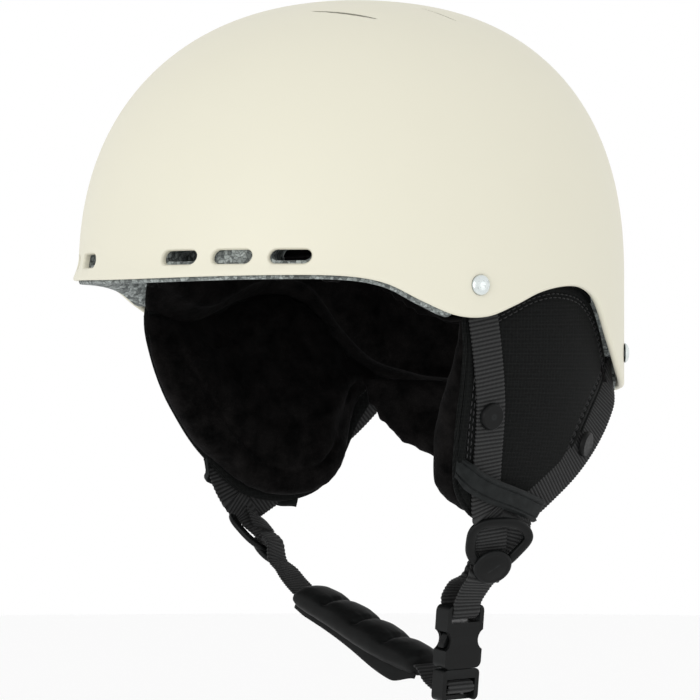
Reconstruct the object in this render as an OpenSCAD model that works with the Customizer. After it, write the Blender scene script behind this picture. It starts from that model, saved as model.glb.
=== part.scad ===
/* [Shell] */
// Distance from the head's axis to the brow
front_len = 134; // [128:1:142]
// Distance from the head's axis to the back of the head
back_len = 131; // [125:1:140]
// Half of the shell's width
half_w = 114; // [110:1:120]
// Height of the crown above the brim
crown_h = 130; // [124:1:138]
// Thickness of the hard shell
shell_t = 3; // [2.5:0.5:3.5]
// Outward roll of the brim over the brow
brim_flare = 3.5; // [0:0.5:4.5]

/* [Liner] */
// Thickness of the foam liner
foam_t = 21; // [18:1:23]
// Thickness of the comfort pads
pad_t = 7; // [5:1:8]

/* [Ear pads] */
// Thickness of an ear pad at its lower half
ear_t = 20; // [16:1:22]
// Height of an ear pad's lowest point
ear_bottom = -110; // [-112:1:-106]
// How far the left ear pad reaches forward of the ear
ear_front_left = 28; // [26:1:32]
// How far the right ear pad, which is pulled open, reaches forward of the ear
ear_front_right = 51; // [46:1:52]

/* [Straps] */
// Width of the webbing
web_w = 16; // [15:1:18]
// Thickness of the webbing
web_t = 1.5; // [1.2:0.1:1.6]
// Fore and aft place of the chin strap
chin_y = 8; // [6:1:10]

/* [Buckle] */
// Width of the side release buckle
buckle_w = 22; // [21:1:24]
// Thickness of the buckle
buckle_t = 8.4; // [8:0.2:9]
// Length of the socket half
socket_len = 28; // [28:1:31]

/* [Hidden] */
$fn = 48;
shell_color = "#ece5d3";
foam_color = "#6d7478";
fleece_color = "#26262a";
web_color = "#1d1e21";
plastic_color = "#151619";
steel_color = "#c3c6c8";

plan_p = 2.12;             // exponent of the outline seen from above
side_n = 2.33;             // exponent of the side profile
crown_back = 5;            // the crown sits this far behind the head's axis
columns = 60;
rows = 16;
foam_gap = 0.4;            // clearance between shell and liner
foam_drop = 1.6;           // the liner shows below the shell's edge
ear_lift = 2.5;            // and stops above it over the ear pads
foam_inset = shell_t + foam_gap;
cavity_inset = foam_inset + foam_t;
pad_inset = cavity_inset + 0.5;

// Height of the shell's edge at angles from the front: flat brow, low temple, ear arch, nape
rim_marks = [
    [0, -2], [34, -1], [48, -1.5], [56, -4.5], [64, -12], [72, -18], [80, -18.5], [88, -13.5],
    [96, -7.5], [105, -4.5], [112, -5.5], [118, -11.5], [126, -30], [136, -46], [152, -52], [180, -54]
];
rivet_front = [77.8, -4.7];      // angle from the front, height
rivet_rear = [140.5, -34.4];
front_grip = 7.6;                // what the rivets hold together, from the shell's face to the washer
rear_grip = 9;
front_vent_angles = [14.6, 25.7, 37];
front_vent_z = 7;
vent_size = [18, 6];
rear_vent_angle = 157;
rear_vent_z = 63;

// --- curves ---------------------------------------------------------------
function clamp01(t) = max(0, min(1, t));
function ease(t) = let(c = clamp01(t)) c * c * (3 - 2 * c);
function mix(a, b, t) = a + (b - a) * t;
function unit(v) = v / norm(v);
function flatten(lists) = [for (l = lists) for (v = l) v];
function mean(points) = [for (k = [0:len(points[0]) - 1])
    [for (p = points) p[k]] * [for (p = points) 1] / len(points)];

// Slope of a marked curve at mark i
function slope(m, i) = i == 0 || i == len(m) - 1 ? 0
    : (m[i + 1][1] - m[i - 1][1]) / (m[i + 1][0] - m[i - 1][0]);
// Smooth curve through the marks [place, value]
function through(m, x, i = 0) = x > m[i + 1][0] && i < len(m) - 2 ? through(m, x, i + 1)
    : let(w = m[i + 1][0] - m[i][0], t = clamp01((x - m[i][0]) / w))
    m[i][1] * (2 * t ^ 3 - 3 * t ^ 2 + 1) + m[i + 1][1] * (3 * t ^ 2 - 2 * t ^ 3)
    + w * slope(m, i) * (t ^ 3 - 2 * t ^ 2 + t) + w * slope(m, i + 1) * (t ^ 3 - t ^ 2);
// Closed smooth outline through hand-set corners, n points per corner
function spline_point(a, b, c, d, t) = b + 0.5 * t * (c - a + t * (2 * a - 5 * b + 4 * c - d
    + t * (3 * (b - c) + d - a)));
function closed_spline(p, n) = let(k = len(p)) [for (i = [0:k - 1], j = [0:n - 1])
    spline_point(p[(i + k - 1) % k], p[i], p[(i + 1) % k], p[(i + 2) % k], j / n)];
function open_spline(p, n) = let(k = len(p)) [for (i = [0:k - 2], j = [0:n - (i < k - 2 ? 1 : 0)])
    spline_point(p[max(i - 1, 0)], p[i], p[i + 1], p[min(i + 2, k - 1)], j / n)];

// --- the head form --------------------------------------------------------
function wrap(phi) = abs(phi > 180 ? phi - 360 : phi);
function rim_z(phi) = through(rim_marks, wrap(phi));
function plan_radius(phi, inset) = let(a = (cos(phi) > 0 ? front_len : back_len) - inset)
    (abs(sin(phi) / (half_w - inset)) ^ plan_p + abs(cos(phi) / a) ^ plan_p) ^ (-1 / plan_p);
function narrowing(z, inset) = let(h = crown_h - inset)
    z <= 0 ? 1 : z >= h ? 0 : (1 - (z / h) ^ side_n) ^ (1 / side_n);
// Point on the head form, moved inwards by inset
function form(phi, z, inset) = let(r = plan_radius(phi, inset) * narrowing(z, inset))
    [r * sin(phi), crown_back * (max(z, 0) / crown_h) ^ 2 - r * cos(phi), z];
function flare(phi, z) = brim_flare * ease((62 - wrap(phi)) / 30) * clamp01(1 - (z + 2) / 13) ^ 2;
function outward(phi) = [sin(phi), -cos(phi), 0];
// Height of the liner's outer edge over the shell's edge
function liner_lift(phi) = mix(-foam_drop, ear_lift, ease((wrap(phi) - 63) / 6) * ease((150 - wrap(phi)) / 8));
// Ring of the form at step t from the edge (0) to the crown (1); liner adds the liner's lift
function form_ring(t, inset, lift, liner = 0) = [for (i = [0:columns - 1])
    let(phi = 360 * i / columns, low = rim_z(phi) + lift + liner * liner_lift(phi),
        z = mix(low, crown_h - inset, sin(90 * t) ^ (2 / side_n)))
    form(phi, z, inset) + outward(phi) * flare(phi, z)];

// --- solids ---------------------------------------------------------------
// Closed skin over a stack of rings, with a point at both ends
module loft(rings, first = undef, last = undef) {
    n = len(rings[0]);
    k = len(rings);
    start = is_undef(first) ? mean(rings[0]) : first;
    end = is_undef(last) ? mean(rings[k - 1]) : last;
    points = concat([start], flatten(rings), [end]);
    faces = concat(
        [for (i = [0:n - 1]) [0, 1 + i, 1 + (i + 1) % n]],
        [for (j = [0:k - 2], i = [0:n - 1], half = [0, 1])
            let(a = 1 + j * n + i, b = 1 + j * n + (i + 1) % n) half == 0 ? [a, a + n, b] : [b, a + n, b + n]],
        [for (i = [0:n - 1]) [n * k + 1, n * (k - 1) + 1 + (i + 1) % n, n * (k - 1) + 1 + i]]);
    volumes = [for (f = faces) points[f[0]] * cross(points[f[1]], points[f[2]])];
    inside_out = volumes * [for (f = faces) 1] > 0;
    polyhedron(points, inside_out ? [for (f = faces) [f[2], f[1], f[0]]] : faces);
}
// Pad that follows the head form: outline of [angle, height] corners
module form_pad(outline, inset, thickness, taper = 0.8) {
    centre = mean(outline);
    function ring(scale, depth) = [for (p = outline)
        let(q = mix(centre, p, scale)) form(q[0], q[1], depth)];
    loft([for (s = [0.5, 1]) ring(s, inset), ring(1, inset + thickness * 0.45),
            ring(taper + 0.1, inset + thickness * 0.85), ring(0.5, inset + thickness)],
        form(centre[0], centre[1], inset), form(centre[0], centre[1], inset + thickness));
}
// Band shaped pad around the head form from one angle to another; low and high give its edges' heights
module band_pad(from, to, low, high, inset, thickness) {
    steps = 24;
    function fullness(t) = (1 - abs(2 * t - 1) ^ 6) ^ 0.5;
    function shaped(v) = sign(v) * abs(v) ^ 0.7;
    loft([for (i = [0:steps]) let(t = mix(0.004, 0.996, i / steps), phi = mix(from, to, t), full = fullness(t),
            middle = (low(phi) + high(phi)) / 2, half = (high(phi) - low(phi)) / 2)
        [for (a = [0:30:330]) form(phi, middle + half * full * shaped(cos(a)),
            inset + thickness / 2 * (1 + full * shaped(sin(a))))]]);
}
// Flat strap along a path; across and normal are one vector per point
module ribbon(path, across, normal, width = web_w, thickness = web_t) {
    loft([for (i = [0:len(path) - 1]) let(a = across[i] * width / 2, n = normal[i] * thickness / 2)
        [path[i] - a - n, path[i] + a - n, path[i] + a + n, path[i] - a + n]]);
}
function direction(path, i) = unit(path[min(i + 1, len(path) - 1)] - path[max(i - 1, 0)]);
// Strap whose face looks away from the head's axis
module body_strap(path, width = web_w, thickness = web_t) {
    normals = [for (i = [0:len(path) - 1])
        let(d = direction(path, i), o = side_normal(path[i][1], path[i][2])) unit(o - d * (o * d))];
    ribbon(path, [for (i = [0:len(path) - 1]) cross(direction(path, i), normals[i])], normals, width, thickness);
}
// Strap across the chin strap's plane; points are [x, z] in that plane, or [x, z, y]
module chin_strap(xz, width = web_w) {
    path = [for (p = xz) [p[0], len(p) > 2 ? p[2] : chin_y, p[1]]];
    ribbon(path, [for (p = path) [0, 1, 0]],
        [for (i = [0:len(path) - 1]) cross(direction(path, i), [0, 1, 0])], width);
}
module on_side(side) {
    if (side > 0) children();
    else mirror([1, 0, 0]) children();
}
// Places children on the shell: +Z outwards, +Y up
module at_shell(spot, inset = 0) {
    p = form(spot[0], spot[1], inset);
    translate(p) rotate([0, 0, spot[0]]) rotate([90, 0, 0]) children();
}
module pill(size, slant = 0) {
    r = size[1] / 2;
    x = size[0] / 2 - r;
    polygon(concat(
        [for (a = [-90:15:90]) [x + r * cos(a) + slant * sin(a), r * sin(a)]],
        [for (a = [90:15:270]) [r * cos(a) - x + slant * sin(a), r * sin(a)]]));
}
// Leaf shaped slit along a bent line
module leaf(a, b, c, half_width) {
    steps = 10;
    function spot(t) = (1 - t) ^ 2 * a + 2 * t * (1 - t) * b + t ^ 2 * c;
    function side(t) = let(d = unit(spot(t + 0.01) - spot(t - 0.01))) half_width * sqrt(sin(180 * t)) * [-d[1], d[0]];
    polygon(concat([for (i = [0:steps]) spot(i / steps) + side(i / steps)],
        [for (i = [steps - 1:-1:1]) spot(i / steps) - side(i / steps)]));
}

// --- openings -------------------------------------------------------------
module front_vents(angles, depth, size) {
    for (side = [-1, 1], phi = angles)
        rotate([0, 0, side * phi]) translate([0, -90, front_vent_z]) rotate([90, 0, 0])
            translate([0, 0, depth]) linear_extrude(60 - depth) pill(size, side * 1.6);
}
module crown_slits(low, half_width) {
    for (side = [-1, 1]) translate([0, 0, low]) linear_extrude(crown_h + 10 - low) {
        leaf([side * 27, -50], [side * 42, -43], [side * 54, -33], half_width);
        leaf([side * 29, -4], [side * 45, 3], [side * 58, 11], half_width);
    }
}
module rear_slits(depth, half_width) {
    for (side = [-1, 1]) rotate([0, 0, side * rear_vent_angle])
        translate([0, -60, rear_vent_z]) rotate([90, 0, 0]) translate([0, 0, depth])
            linear_extrude(90 - depth) leaf([-20, -3], [0, 5], [20, -3], half_width);
}
module rivet_bores(radius, inset, depth) {
    for (side = [-1, 1], spot = [rivet_front, rivet_rear])
        on_side(side) at_shell(spot, inset) translate([0, 0, -depth]) cylinder(r = radius, h = depth + 8);
}

// --- shell and liner ------------------------------------------------------
module shell() {
    color(shell_color) difference() {
        loft(concat([for (j = [rows - 1:-1:0]) form_ring(j / rows, 0, 0)],
                [for (j = [0:rows - 1]) form_ring(j / rows, shell_t, 0)]),
            form(0, crown_h, 0), form(0, crown_h - shell_t, shell_t) + [0, 0, 0]);
        front_vents(front_vent_angles, 10, vent_size);
        crown_slits(90, 2.3);
        rear_slits(10, 2.6);
        rivet_bores(2.3, 0, 8);
    }
}
module foam_liner() {
    color(foam_color) difference() {
        loft(concat([for (j = [rows - 1:-1:0]) form_ring(j / rows, foam_inset, 0, 1)],
                [form_ring(0, foam_inset + 6, 0, 1)],
                [for (j = [0:rows - 1]) form_ring(j / rows, cavity_inset, 8.6, 1)]),
            form(0, crown_h - foam_inset, foam_inset), form(0, crown_h - cavity_inset, cavity_inset));
        front_vents([front_vent_angles[0], front_vent_angles[2]], -20, [15, 5]);
        crown_slits(60, 3.4);
        rear_slits(-10, 3.6);
        rivet_bores(9, 0, 11);
        strap_pockets();
    }
}
// Recesses in the liner where the straps run up to their rivets
module strap_pockets() {
    for (side = [-1, 1]) on_side(side) {
        at_shell([rivet_front[0] + 2.4, -22]) translate([-13, -10, -11]) cube([26, 42, 20]);
        at_shell([rivet_rear[0] - 2, -46]) translate([-18, -16, -11]) cube([36, 42, 20]);
    }
}

// --- comfort pads ---------------------------------------------------------
module brow_pad() {
    color(fleece_color) band_pad(-64, 64, function(phi) mix(5, -8, ease(abs(phi) / 50)),
        function(phi) 33 - 8 * (phi / 64) ^ 2, pad_inset, pad_t);
}
module side_pad(side) {
    corners = [[68, 22], [84, 16], [104, 16], [118, 22], [116, 38], [94, 46], [72, 40]];
    color(fleece_color) on_side(side) form_pad(closed_spline(corners, 3), pad_inset, pad_t);
}
module rear_pad() {
    color(fleece_color) band_pad(130, 230, function(phi) -28 + 24 * abs((phi - 180) / 50) ^ 2.4,
        function(phi) 36 - 8 * ((phi - 180) / 50) ^ 2, pad_inset, pad_t);
}
module crown_pad() {
    crown_z = crown_h - cavity_inset - 1.5;
    function ring(rx, ry, drop) = [for (i = [0:31]) let(a = 360 * i / 32)
        [rx * cos(a), crown_back + ry * sin(a), crown_z - drop]];
    color(fleece_color) loft([ring(20, 28, 1.6), ring(34, 46, 7), ring(34, 45, 10), ring(20, 28, 8)],
        [0, crown_back, crown_z], [0, crown_back, crown_z - pad_t]);
}
module nape_pad() {
    color(fleece_color) band_pad(134, 226, function(phi) -88 + 26 * abs((phi - 180) / 46) ^ 2.2,
        function(phi) rim_z(phi) - 5, 19, 11);
}

// --- ear pads and side straps ---------------------------------------------
left_edge = [[2, ear_bottom], [-13, -105], [-ear_front_left + 4, -92], [-ear_front_left, -68],
    [-ear_front_left, -42], under_rim(-ear_front_left + 1)];
right_edge = [[4, -104], [-10, -94], [-24, -80], [16 - ear_front_right, -64], [4 - ear_front_right, -44],
    [-ear_front_right, -28], under_rim(3 - ear_front_right)];
// The straps lean inwards below the shell; the pads lie just inside them
function strap_inset(z) = shell_t + 2.6 + 0.0021 * max(0, -z - 18) ^ 2;
function pad_face(z) = strap_inset(z) + web_t / 2 + 0.8;
function ear_depth(z) = 8 + (ear_t - 8) * ease((-z - 14) / 55);
// Point on the side of the head at a fore and aft place y
function side_point(y, z, inset) = let(a = (y < 0 ? front_len : back_len) - inset)
    [(half_w - inset) * (1 - abs(y / a) ^ plan_p) ^ (1 / plan_p), y, z];
// Outward normal of the surface that the straps follow
function side_normal(y, z) = let(inset = strap_inset(z), a = (y < 0 ? front_len : back_len) - inset,
    across = unit([(side_point(y, z, inset)[0] / (half_w - inset)) ^ (plan_p - 1) / (half_w - inset),
        sign(y) * abs(y / a) ^ (plan_p - 1) / a, 0]))
    unit(across + [0, 0, (strap_inset(z + 1) - strap_inset(z - 1)) / 2]);
// Angle from the front of a place y on the side of the head
function angle_at(y) = atan2(side_point(y, 0, 8)[0], -y);
function under_rim(y) = [y, rim_z(angle_at(y)) - 1.2 - 0.03 * abs(y)];
// Outline of an ear pad in the side view, from its front edge's own corners
function ear_corners(front_edge) = concat(front_edge,
    [for (y = [front_edge[len(front_edge) - 1][0] + 10, -6, 12, 30, 46, 60, 69, 75]) under_rim(y)],
    [[75, -51], [69, -60], [61, -71], [52, -88], [38, -104], [20, ear_bottom]]);
module ear_pad(side, front_edge) {
    outline = closed_spline(ear_corners(front_edge), 2);
    centre = [14, -58];
    function depth_at(q) = ear_depth(q[1]) * (1 - 0.6 * ease((q[0] - 46) / 30));
    function ring(scale, share) = [for (p = outline) let(q = mix(centre, p, scale))
        side_point(q[0], q[1], pad_face(q[1]) + share * depth_at(q))];
    color(fleece_color) on_side(side)
        loft([ring(0.35, 0), ring(0.7, 0), ring(0.98, 0), ring(1, 0.3), ring(0.97, 0.7), ring(0.88, 0.95),
                ring(0.6, 1), ring(0.3, 1)],
            side_point(centre[0], centre[1], pad_face(centre[1])),
            side_point(centre[0], centre[1], pad_face(centre[1]) + ear_depth(centre[1])));
}
front_route = [[-22, 4], [-19, -14], [-15, -36], [-11, -58], [-8.5, -80], [-5, -98], [-2, -106]];
rear_route = [[98, -27], [93, -39], [85, -51], [71, -67], [52, -83], [34, -95], [22, -103]];
function side_path(route) = [for (p = open_spline(route, 3)) side_point(p[0], p[1], strap_inset(p[1]))];
module strap(side, route, spot) {
    color(web_color) on_side(side) difference() {
        body_strap(side_path(route));
        at_shell(spot) translate([0, 0, -14]) cylinder(r = 2.4, h = 20);
    }
}
module rivet(side, spot, grip) {
    color(steel_color) on_side(side) at_shell(spot) {
        rotate_extrude() polygon(concat([[0, 0.3], [4.6, 0.3]],
            [for (a = [12:12:78]) [4.6 * cos(a), 0.3 + 2.2 * sin(a)]], [[0, 2.5]]));
        translate([0, 0, -grip - 0.6]) cylinder(r = 2.2, h = grip + 1);
    }
}
module washer(side, spot, grip) {
    color(steel_color) on_side(side) at_shell(spot) translate([0, 0, -grip - 1]) difference() {
        cylinder(r = 7, h = 1);
        translate([0, 0, -1]) cylinder(r = 2.25, h = 3);
    }
}
// Places children on the side straps' surface: +Z outwards
module at_side(y, z) {
    n = side_normal(y, z);
    p = side_point(y, z, strap_inset(z)) + n * web_t / 2;
    u = unit(cross([0, 0, 1], n));
    v = cross(n, u);
    multmatrix([for (k = [0:2]) [u[k], v[k], n[k], p[k]]]) children();
}
// Snap button: cap outside the strap
module snap(side, y, z) {
    color(plastic_color) on_side(side) at_side(y, z) translate([0, 0, 0.1]) rotate_extrude()
        polygon(concat([[0, 0], [6, 0]], [for (a = [10:10:80]) [5 + 1.2 * cos(a), 2.4 * sin(a)]], [[0, 2.4]]));
}
// Elastic keeper that lies over both straps near the tip of the ear pad
keeper_route = [[-24, -81], [-8, -89], [10, -98], [30, -107]];
module keeper(side) {
    path = [for (p = open_spline(keeper_route, 3)) side_point(p[0], p[1], strap_inset(p[1]) - 3.4)];
    color(plastic_color) on_side(side) body_strap(path, 11, 1.8);
}

// --- strap divider --------------------------------------------------------
left_divider_at = [86.5, chin_y, -119.5];
left_divider_face = [0.80, -0.30, -0.52];
right_divider_at = [86.5, chin_y + 2, -121.5];
right_divider_face = [0.66, -0.30, -0.69];
module at_divider(side) {
    p = side > 0 ? left_divider_at : right_divider_at;
    n = unit(side > 0 ? left_divider_face : right_divider_face);
    v = unit([0, 0, 1] - n * n[2]);
    u = cross(v, n);
    on_side(side) multmatrix([for (k = [0:2]) [u[k], v[k], n[k], p[k]]]) children();
}
// Rounded trapezoid: half width at top and bottom, half height, corner radius
module trapezoid(top, bottom, half_h, r) {
    corners = [[bottom, -half_h, -90], [top, half_h, 0], [-top, half_h, 90], [-bottom, -half_h, 180]];
    polygon([for (c = corners, a = [0:15:90])
        [c[0] - sign(c[0]) * r + r * cos(c[2] + a), c[1] - sign(c[1]) * r + r * sin(c[2] + a)]]);
}
module divider(side) {
    color(plastic_color) at_divider(side) {
        translate([0, 0, 0.6]) linear_extrude(3) difference() {
            translate([0, 0.5]) trapezoid(16, 12, 12.5, 5);
            translate([0, 3.5]) trapezoid(12.2, 10.5, 4.6, 2);
        }
    }
}
module divider_button(side) {
    color(plastic_color) at_divider(side) translate([0, -10.5, 3.7]) rotate_extrude()
        polygon(concat([[0, 0], [8.4, 0], [9, 0.8]],
            [for (a = [0:15:75]) [8 + 0.9 * cos(a), 2.2 + 0.9 * sin(a)]], [[7, 3.2], [0, 3.6]]));
}

// --- chin strap -----------------------------------------------------------
buckle_top = [64, chin_y, -149.5];
buckle_lean = 5.8;
strap_end = [78.5, -136];          // x and z just under the left divider's button
// Place in the chin strap's plane of a point of the buckle, through it and up it
function buckle_xz(through, up) = [buckle_top[0] + through * cos(buckle_lean) + up * sin(buckle_lean),
    buckle_top[2] - through * sin(buckle_lean) + up * cos(buckle_lean)];
module lower_strap_left() {
    color(web_color) chin_strap(open_spline([strap_end, [74, -140.5], buckle_xz(4.6, 2.6), buckle_xz(4.1, -2.4)], 4));
}
module lower_loop_left() {
    color(web_color) chin_strap(open_spline([strap_end - [4, 1], [66, -137.5], buckle_xz(-4.3, 5), buckle_xz(-4.1, -2.4)], 4));
}
module lower_strap_right() {
    color(web_color) chin_strap(open_spline([[-74, -135, 13], [-68, -139.5, 13], [-59, -144.5, 10.5], [-49, -149.5, 8]], 4));
}
chin_route = [[-46, -151], [-26, -157], [-4, -164.5], [19, -172], [41, -178]];
module chin_pad() {
    path = open_spline(chin_route, 5);
    last = len(path) - 1;
    function side_of(i) = cross([0, 1, 0], unit(point(path, min(i + 1, last)) - point(path, max(i - 1, 0))));
    function point(p, i) = [p[i][0], chin_y, p[i][1]];
    function swell(i) = 0.86 + 0.14 * sin(180 * i / last) ^ 0.5;
    color(fleece_color) loft([for (i = [0:last]) [for (k = [0:19]) let(a = 18 * k)
        point(path, i) + [0, 1, 0] * 14 * swell(i) * cos(a) + side_of(i) * 7.6 * swell(i) * sin(a)]]);
}
module chin_web() {
    color(web_color) chin_strap(open_spline([[42.2, -178.5], [47, -184], buckle_xz(-6.2, plug_end + 3.8)], 4));
}

// --- side release buckle: local +Z runs up its length, +Y across it ---------
module at_buckle() {
    translate(buckle_top) rotate([0, buckle_lean, 0]) children();
}
wall = 1.7;
prong_t = 3.6;
window_low = -socket_len + 9;
window_high = -11;
module plate(half, z_low, z_high, r, thickness) {
    translate([-thickness / 2, 0, 0]) rotate([90, 0, 90]) linear_extrude(thickness)
        translate([0, (z_low + z_high) / 2]) trapezoid(half, half, (z_high - z_low) / 2, r);
}
module buckle_socket() {
    half = buckle_w / 2;
    inner = buckle_t - 2 * wall;
    color(plastic_color) at_buckle() difference() {
        plate(half, -socket_len, 1, 3, buckle_t);
        // Passage for the prongs, open at the lower end
        translate([-inner / 2, wall - half, -socket_len - 1]) cube([inner, buckle_w - 2 * wall, socket_len - 8]);
        // Side windows that the prongs spring into
        for (side = [-1, 1]) translate([-inner / 2, side * half - 5, window_low])
            cube([inner, 10, window_high - window_low]);
        for (side = [-1, 1]) translate([-buckle_t, side * (half + 2.2), (window_low + window_high) / 2])
            rotate([0, 90, 0]) cylinder(r = 5, h = 2 * buckle_t);
        // Slot and relief for the webbing
        translate([-buckle_t, -web_w / 2 - 0.6, -6.8]) cube([2 * buckle_t, web_w + 1.2, 3.8]);
        for (x = [-1, 1]) translate([x * (buckle_t / 2 + 1.5) - 3, -web_w / 2 - 0.6, -3.2]) cube([6, web_w + 1.2, 6]);
    }
}
plug_top = -socket_len - 0.4;
plug_end = -socket_len - 15;
module buckle_plug() {
    half = buckle_w / 2;
    color(plastic_color) at_buckle() {
        difference() {
            plate(half, plug_end, plug_top, 2.5, buckle_t - 1);
            for (z = [plug_end + 2.2, plug_end + 7.2])
                translate([-buckle_t, -web_w / 2 - 0.5, z]) cube([2 * buckle_t, web_w + 1, 3]);
            translate([0.3, -web_w / 2 - 0.5, plug_end - 1]) cube([6, web_w + 1, 11.2]);
            for (side = [-1, 1]) translate([-prong_t / 2 - 0.4, side * (prong_in + prong_out) / 2 - 2.2, plug_top - 2.3])
                cube([prong_t + 0.8, 4.4, 4]);
        }
        translate([-1.7, -2, plug_top - 1]) cube([3.4, 4, 17.5]);
    }
}
prong_turn = plug_top - 1.2;       // height of a prong's root
prong_in = buckle_w / 2 - 6.2;
prong_out = buckle_w / 2 - 3.6;
module prong(side) {
    outline = [[prong_in, prong_turn - 0.8], [prong_out, prong_turn - 0.8], [prong_out, window_low + 0.6],
        [buckle_w / 2 - 0.3, window_low + 0.6], [buckle_w / 2 - 0.3, window_low + 2.6],
        [prong_out + 0.8, window_high - 0.7], [prong_in + 0.6, window_high - 0.7]];
    color(plastic_color) at_buckle() rotate([90, 0, 90]) translate([0, 0, -prong_t / 2])
        linear_extrude(prong_t) polygon([for (p = outline) [side * p[0], p[1]]]);
}
module ladder_web() {
    color(web_color) chin_strap([for (p = [[-5.8, 9.2], [-3, 8.8], [-0.4, 8.6], [1.6, 8.2], [2.4, 6.2], [1.6, 4.1],
        [-0.4, 3.7], [-3, 3.7], [-5.2, 3.7]]) buckle_xz(p[0], plug_end + p[1])], web_w - 0.4);
}

// --- goggle strap keeper at the back --------------------------------------
goggle_z = -20;
goggle_y = form(180, goggle_z, 0)[1];
module goggle_base() {
    color(plastic_color) translate([0, goggle_y + 1.4, goggle_z]) rotate([-90, 0, 0]) difference() {
        union() {
            translate([0, 0, -0.6]) cylinder(r = 9, h = 2);
            for (x = [-8, 5.5]) translate([x, -1.5, 1]) cube([2.5, 5, 5.4]);
        }
        translate([-12, 1, 4.2]) rotate([0, 90, 0]) cylinder(r = 1.25, h = 24);
    }
}
module goggle_strap() {
    color(plastic_color) translate([0, goggle_y + 5.6, goggle_z - 1]) {
        rotate([0, 90, 0]) translate([0, 0, -8.6]) cylinder(r = 1.15, h = 17.2);
        translate([-5, -1.1, -34]) difference() {
            cube([10, 2.2, 34]);
            translate([5, -1, 4.5]) rotate([-90, 0, 0]) cylinder(r = 2.5, h = 5);
        }
    }
}
module goggle_stud() {
    color(steel_color) translate([0, goggle_y + 0.5, goggle_z - 30.5]) rotate([-90, 0, 0]) {
        cylinder(r = 5, h = 3.2);
        cylinder(r = 1.9, h = 6.8);
    }
}

shell();
foam_liner();
brow_pad();
crown_pad();
side_pad(1);  // side_pad_left
side_pad(-1);  // side_pad_right
rear_pad();
nape_pad();
ear_pad(1, left_edge);  // ear_pad_left
ear_pad(-1, right_edge);  // ear_pad_right
rivet(1, rivet_front, front_grip);  // rivet_front_left
rivet(-1, rivet_front, front_grip);  // rivet_front_right
rivet(1, rivet_rear, rear_grip);  // rivet_rear_left
rivet(-1, rivet_rear, rear_grip);  // rivet_rear_right
washer(1, rivet_front, front_grip);  // washer_front_left
washer(-1, rivet_front, front_grip);  // washer_front_right
washer(1, rivet_rear, rear_grip);  // washer_rear_left
washer(-1, rivet_rear, rear_grip);  // washer_rear_right
strap(1, front_route, rivet_front);  // strap_front_left
strap(-1, front_route, rivet_front);  // strap_front_right
strap(1, rear_route, rivet_rear);  // strap_rear_left
strap(-1, rear_route, rivet_rear);  // strap_rear_right
snap(1, -11, -62);  // snap_front_left
snap(-1, -11, -62);  // snap_front_right
snap(1, 61, -76);  // snap_rear_left
snap(-1, 61, -76);  // snap_rear_right
keeper(1);  // keeper_left
keeper(-1);  // keeper_right
divider(1);  // divider_left
divider(-1);  // divider_right
divider_button(1);  // divider_button_left
divider_button(-1);  // divider_button_right
lower_strap_left();
lower_loop_left();
lower_strap_right();
chin_pad();
chin_web();
buckle_socket();
buckle_plug();
prong(-1);  // prong_front
prong(1);  // prong_rear
ladder_web();
goggle_base();
goggle_strap();
goggle_stud();
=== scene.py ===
import math

import bmesh
import bpy
import numpy as np
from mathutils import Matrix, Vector


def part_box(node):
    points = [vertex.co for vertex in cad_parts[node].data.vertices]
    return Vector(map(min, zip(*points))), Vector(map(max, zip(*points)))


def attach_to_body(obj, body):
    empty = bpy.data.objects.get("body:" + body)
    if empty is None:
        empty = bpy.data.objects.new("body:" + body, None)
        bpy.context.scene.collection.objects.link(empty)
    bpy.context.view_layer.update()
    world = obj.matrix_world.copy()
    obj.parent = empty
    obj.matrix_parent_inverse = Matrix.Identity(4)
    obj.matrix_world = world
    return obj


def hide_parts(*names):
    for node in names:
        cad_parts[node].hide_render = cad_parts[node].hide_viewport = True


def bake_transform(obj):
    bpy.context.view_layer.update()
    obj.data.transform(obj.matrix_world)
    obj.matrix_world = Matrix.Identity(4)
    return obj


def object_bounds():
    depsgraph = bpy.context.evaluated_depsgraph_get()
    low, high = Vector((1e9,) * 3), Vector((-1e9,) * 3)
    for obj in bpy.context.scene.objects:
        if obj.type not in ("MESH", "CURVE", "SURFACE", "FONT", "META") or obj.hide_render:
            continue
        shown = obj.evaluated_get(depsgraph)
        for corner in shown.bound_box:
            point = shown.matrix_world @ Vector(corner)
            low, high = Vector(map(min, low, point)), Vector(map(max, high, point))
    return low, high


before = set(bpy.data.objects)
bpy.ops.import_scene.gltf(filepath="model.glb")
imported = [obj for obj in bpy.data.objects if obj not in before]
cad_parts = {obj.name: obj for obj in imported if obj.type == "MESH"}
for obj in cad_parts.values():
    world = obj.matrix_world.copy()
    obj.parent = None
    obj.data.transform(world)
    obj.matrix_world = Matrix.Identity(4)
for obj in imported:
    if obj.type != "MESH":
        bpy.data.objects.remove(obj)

# Lengths in this script are in millimetres and angles in degrees, as in the design, until a mesh is made.
MM = 0.001
cad_box = [list(corner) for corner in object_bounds()]


def node_box(node):
    """Lowest and highest corner of a CAD node, in millimetres."""
    return [np.array(corner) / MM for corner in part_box(node)]


# --- camera, light and floor ------------------------------------------------------

VIEW_TURN = 50
VIEW_DISTANCE = 1.4
VIEW_TARGET = Vector((-0.0020, -0.0023, -0.033))
LENS = 153.4
LIGHT_TARGET = Vector((0, 0, -0.05))
FLOOR_DROP = 1.20                 # the helmet is shown as worn, this far above the floor
FLOOR_RADIUS = 14
RANGE_KEYS = ("From Min", "From Max", "To Min", "To Max")


def add_object(name, data):
    made = bpy.data.objects.new(name, data)
    bpy.context.scene.collection.objects.link(made)
    return made


def aim(thing, direction):
    """Turns a camera or light so that it looks along a direction."""
    thing.rotation_mode = "QUATERNION"
    thing.rotation_quaternion = direction.to_track_quat("-Z", "Y")


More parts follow.
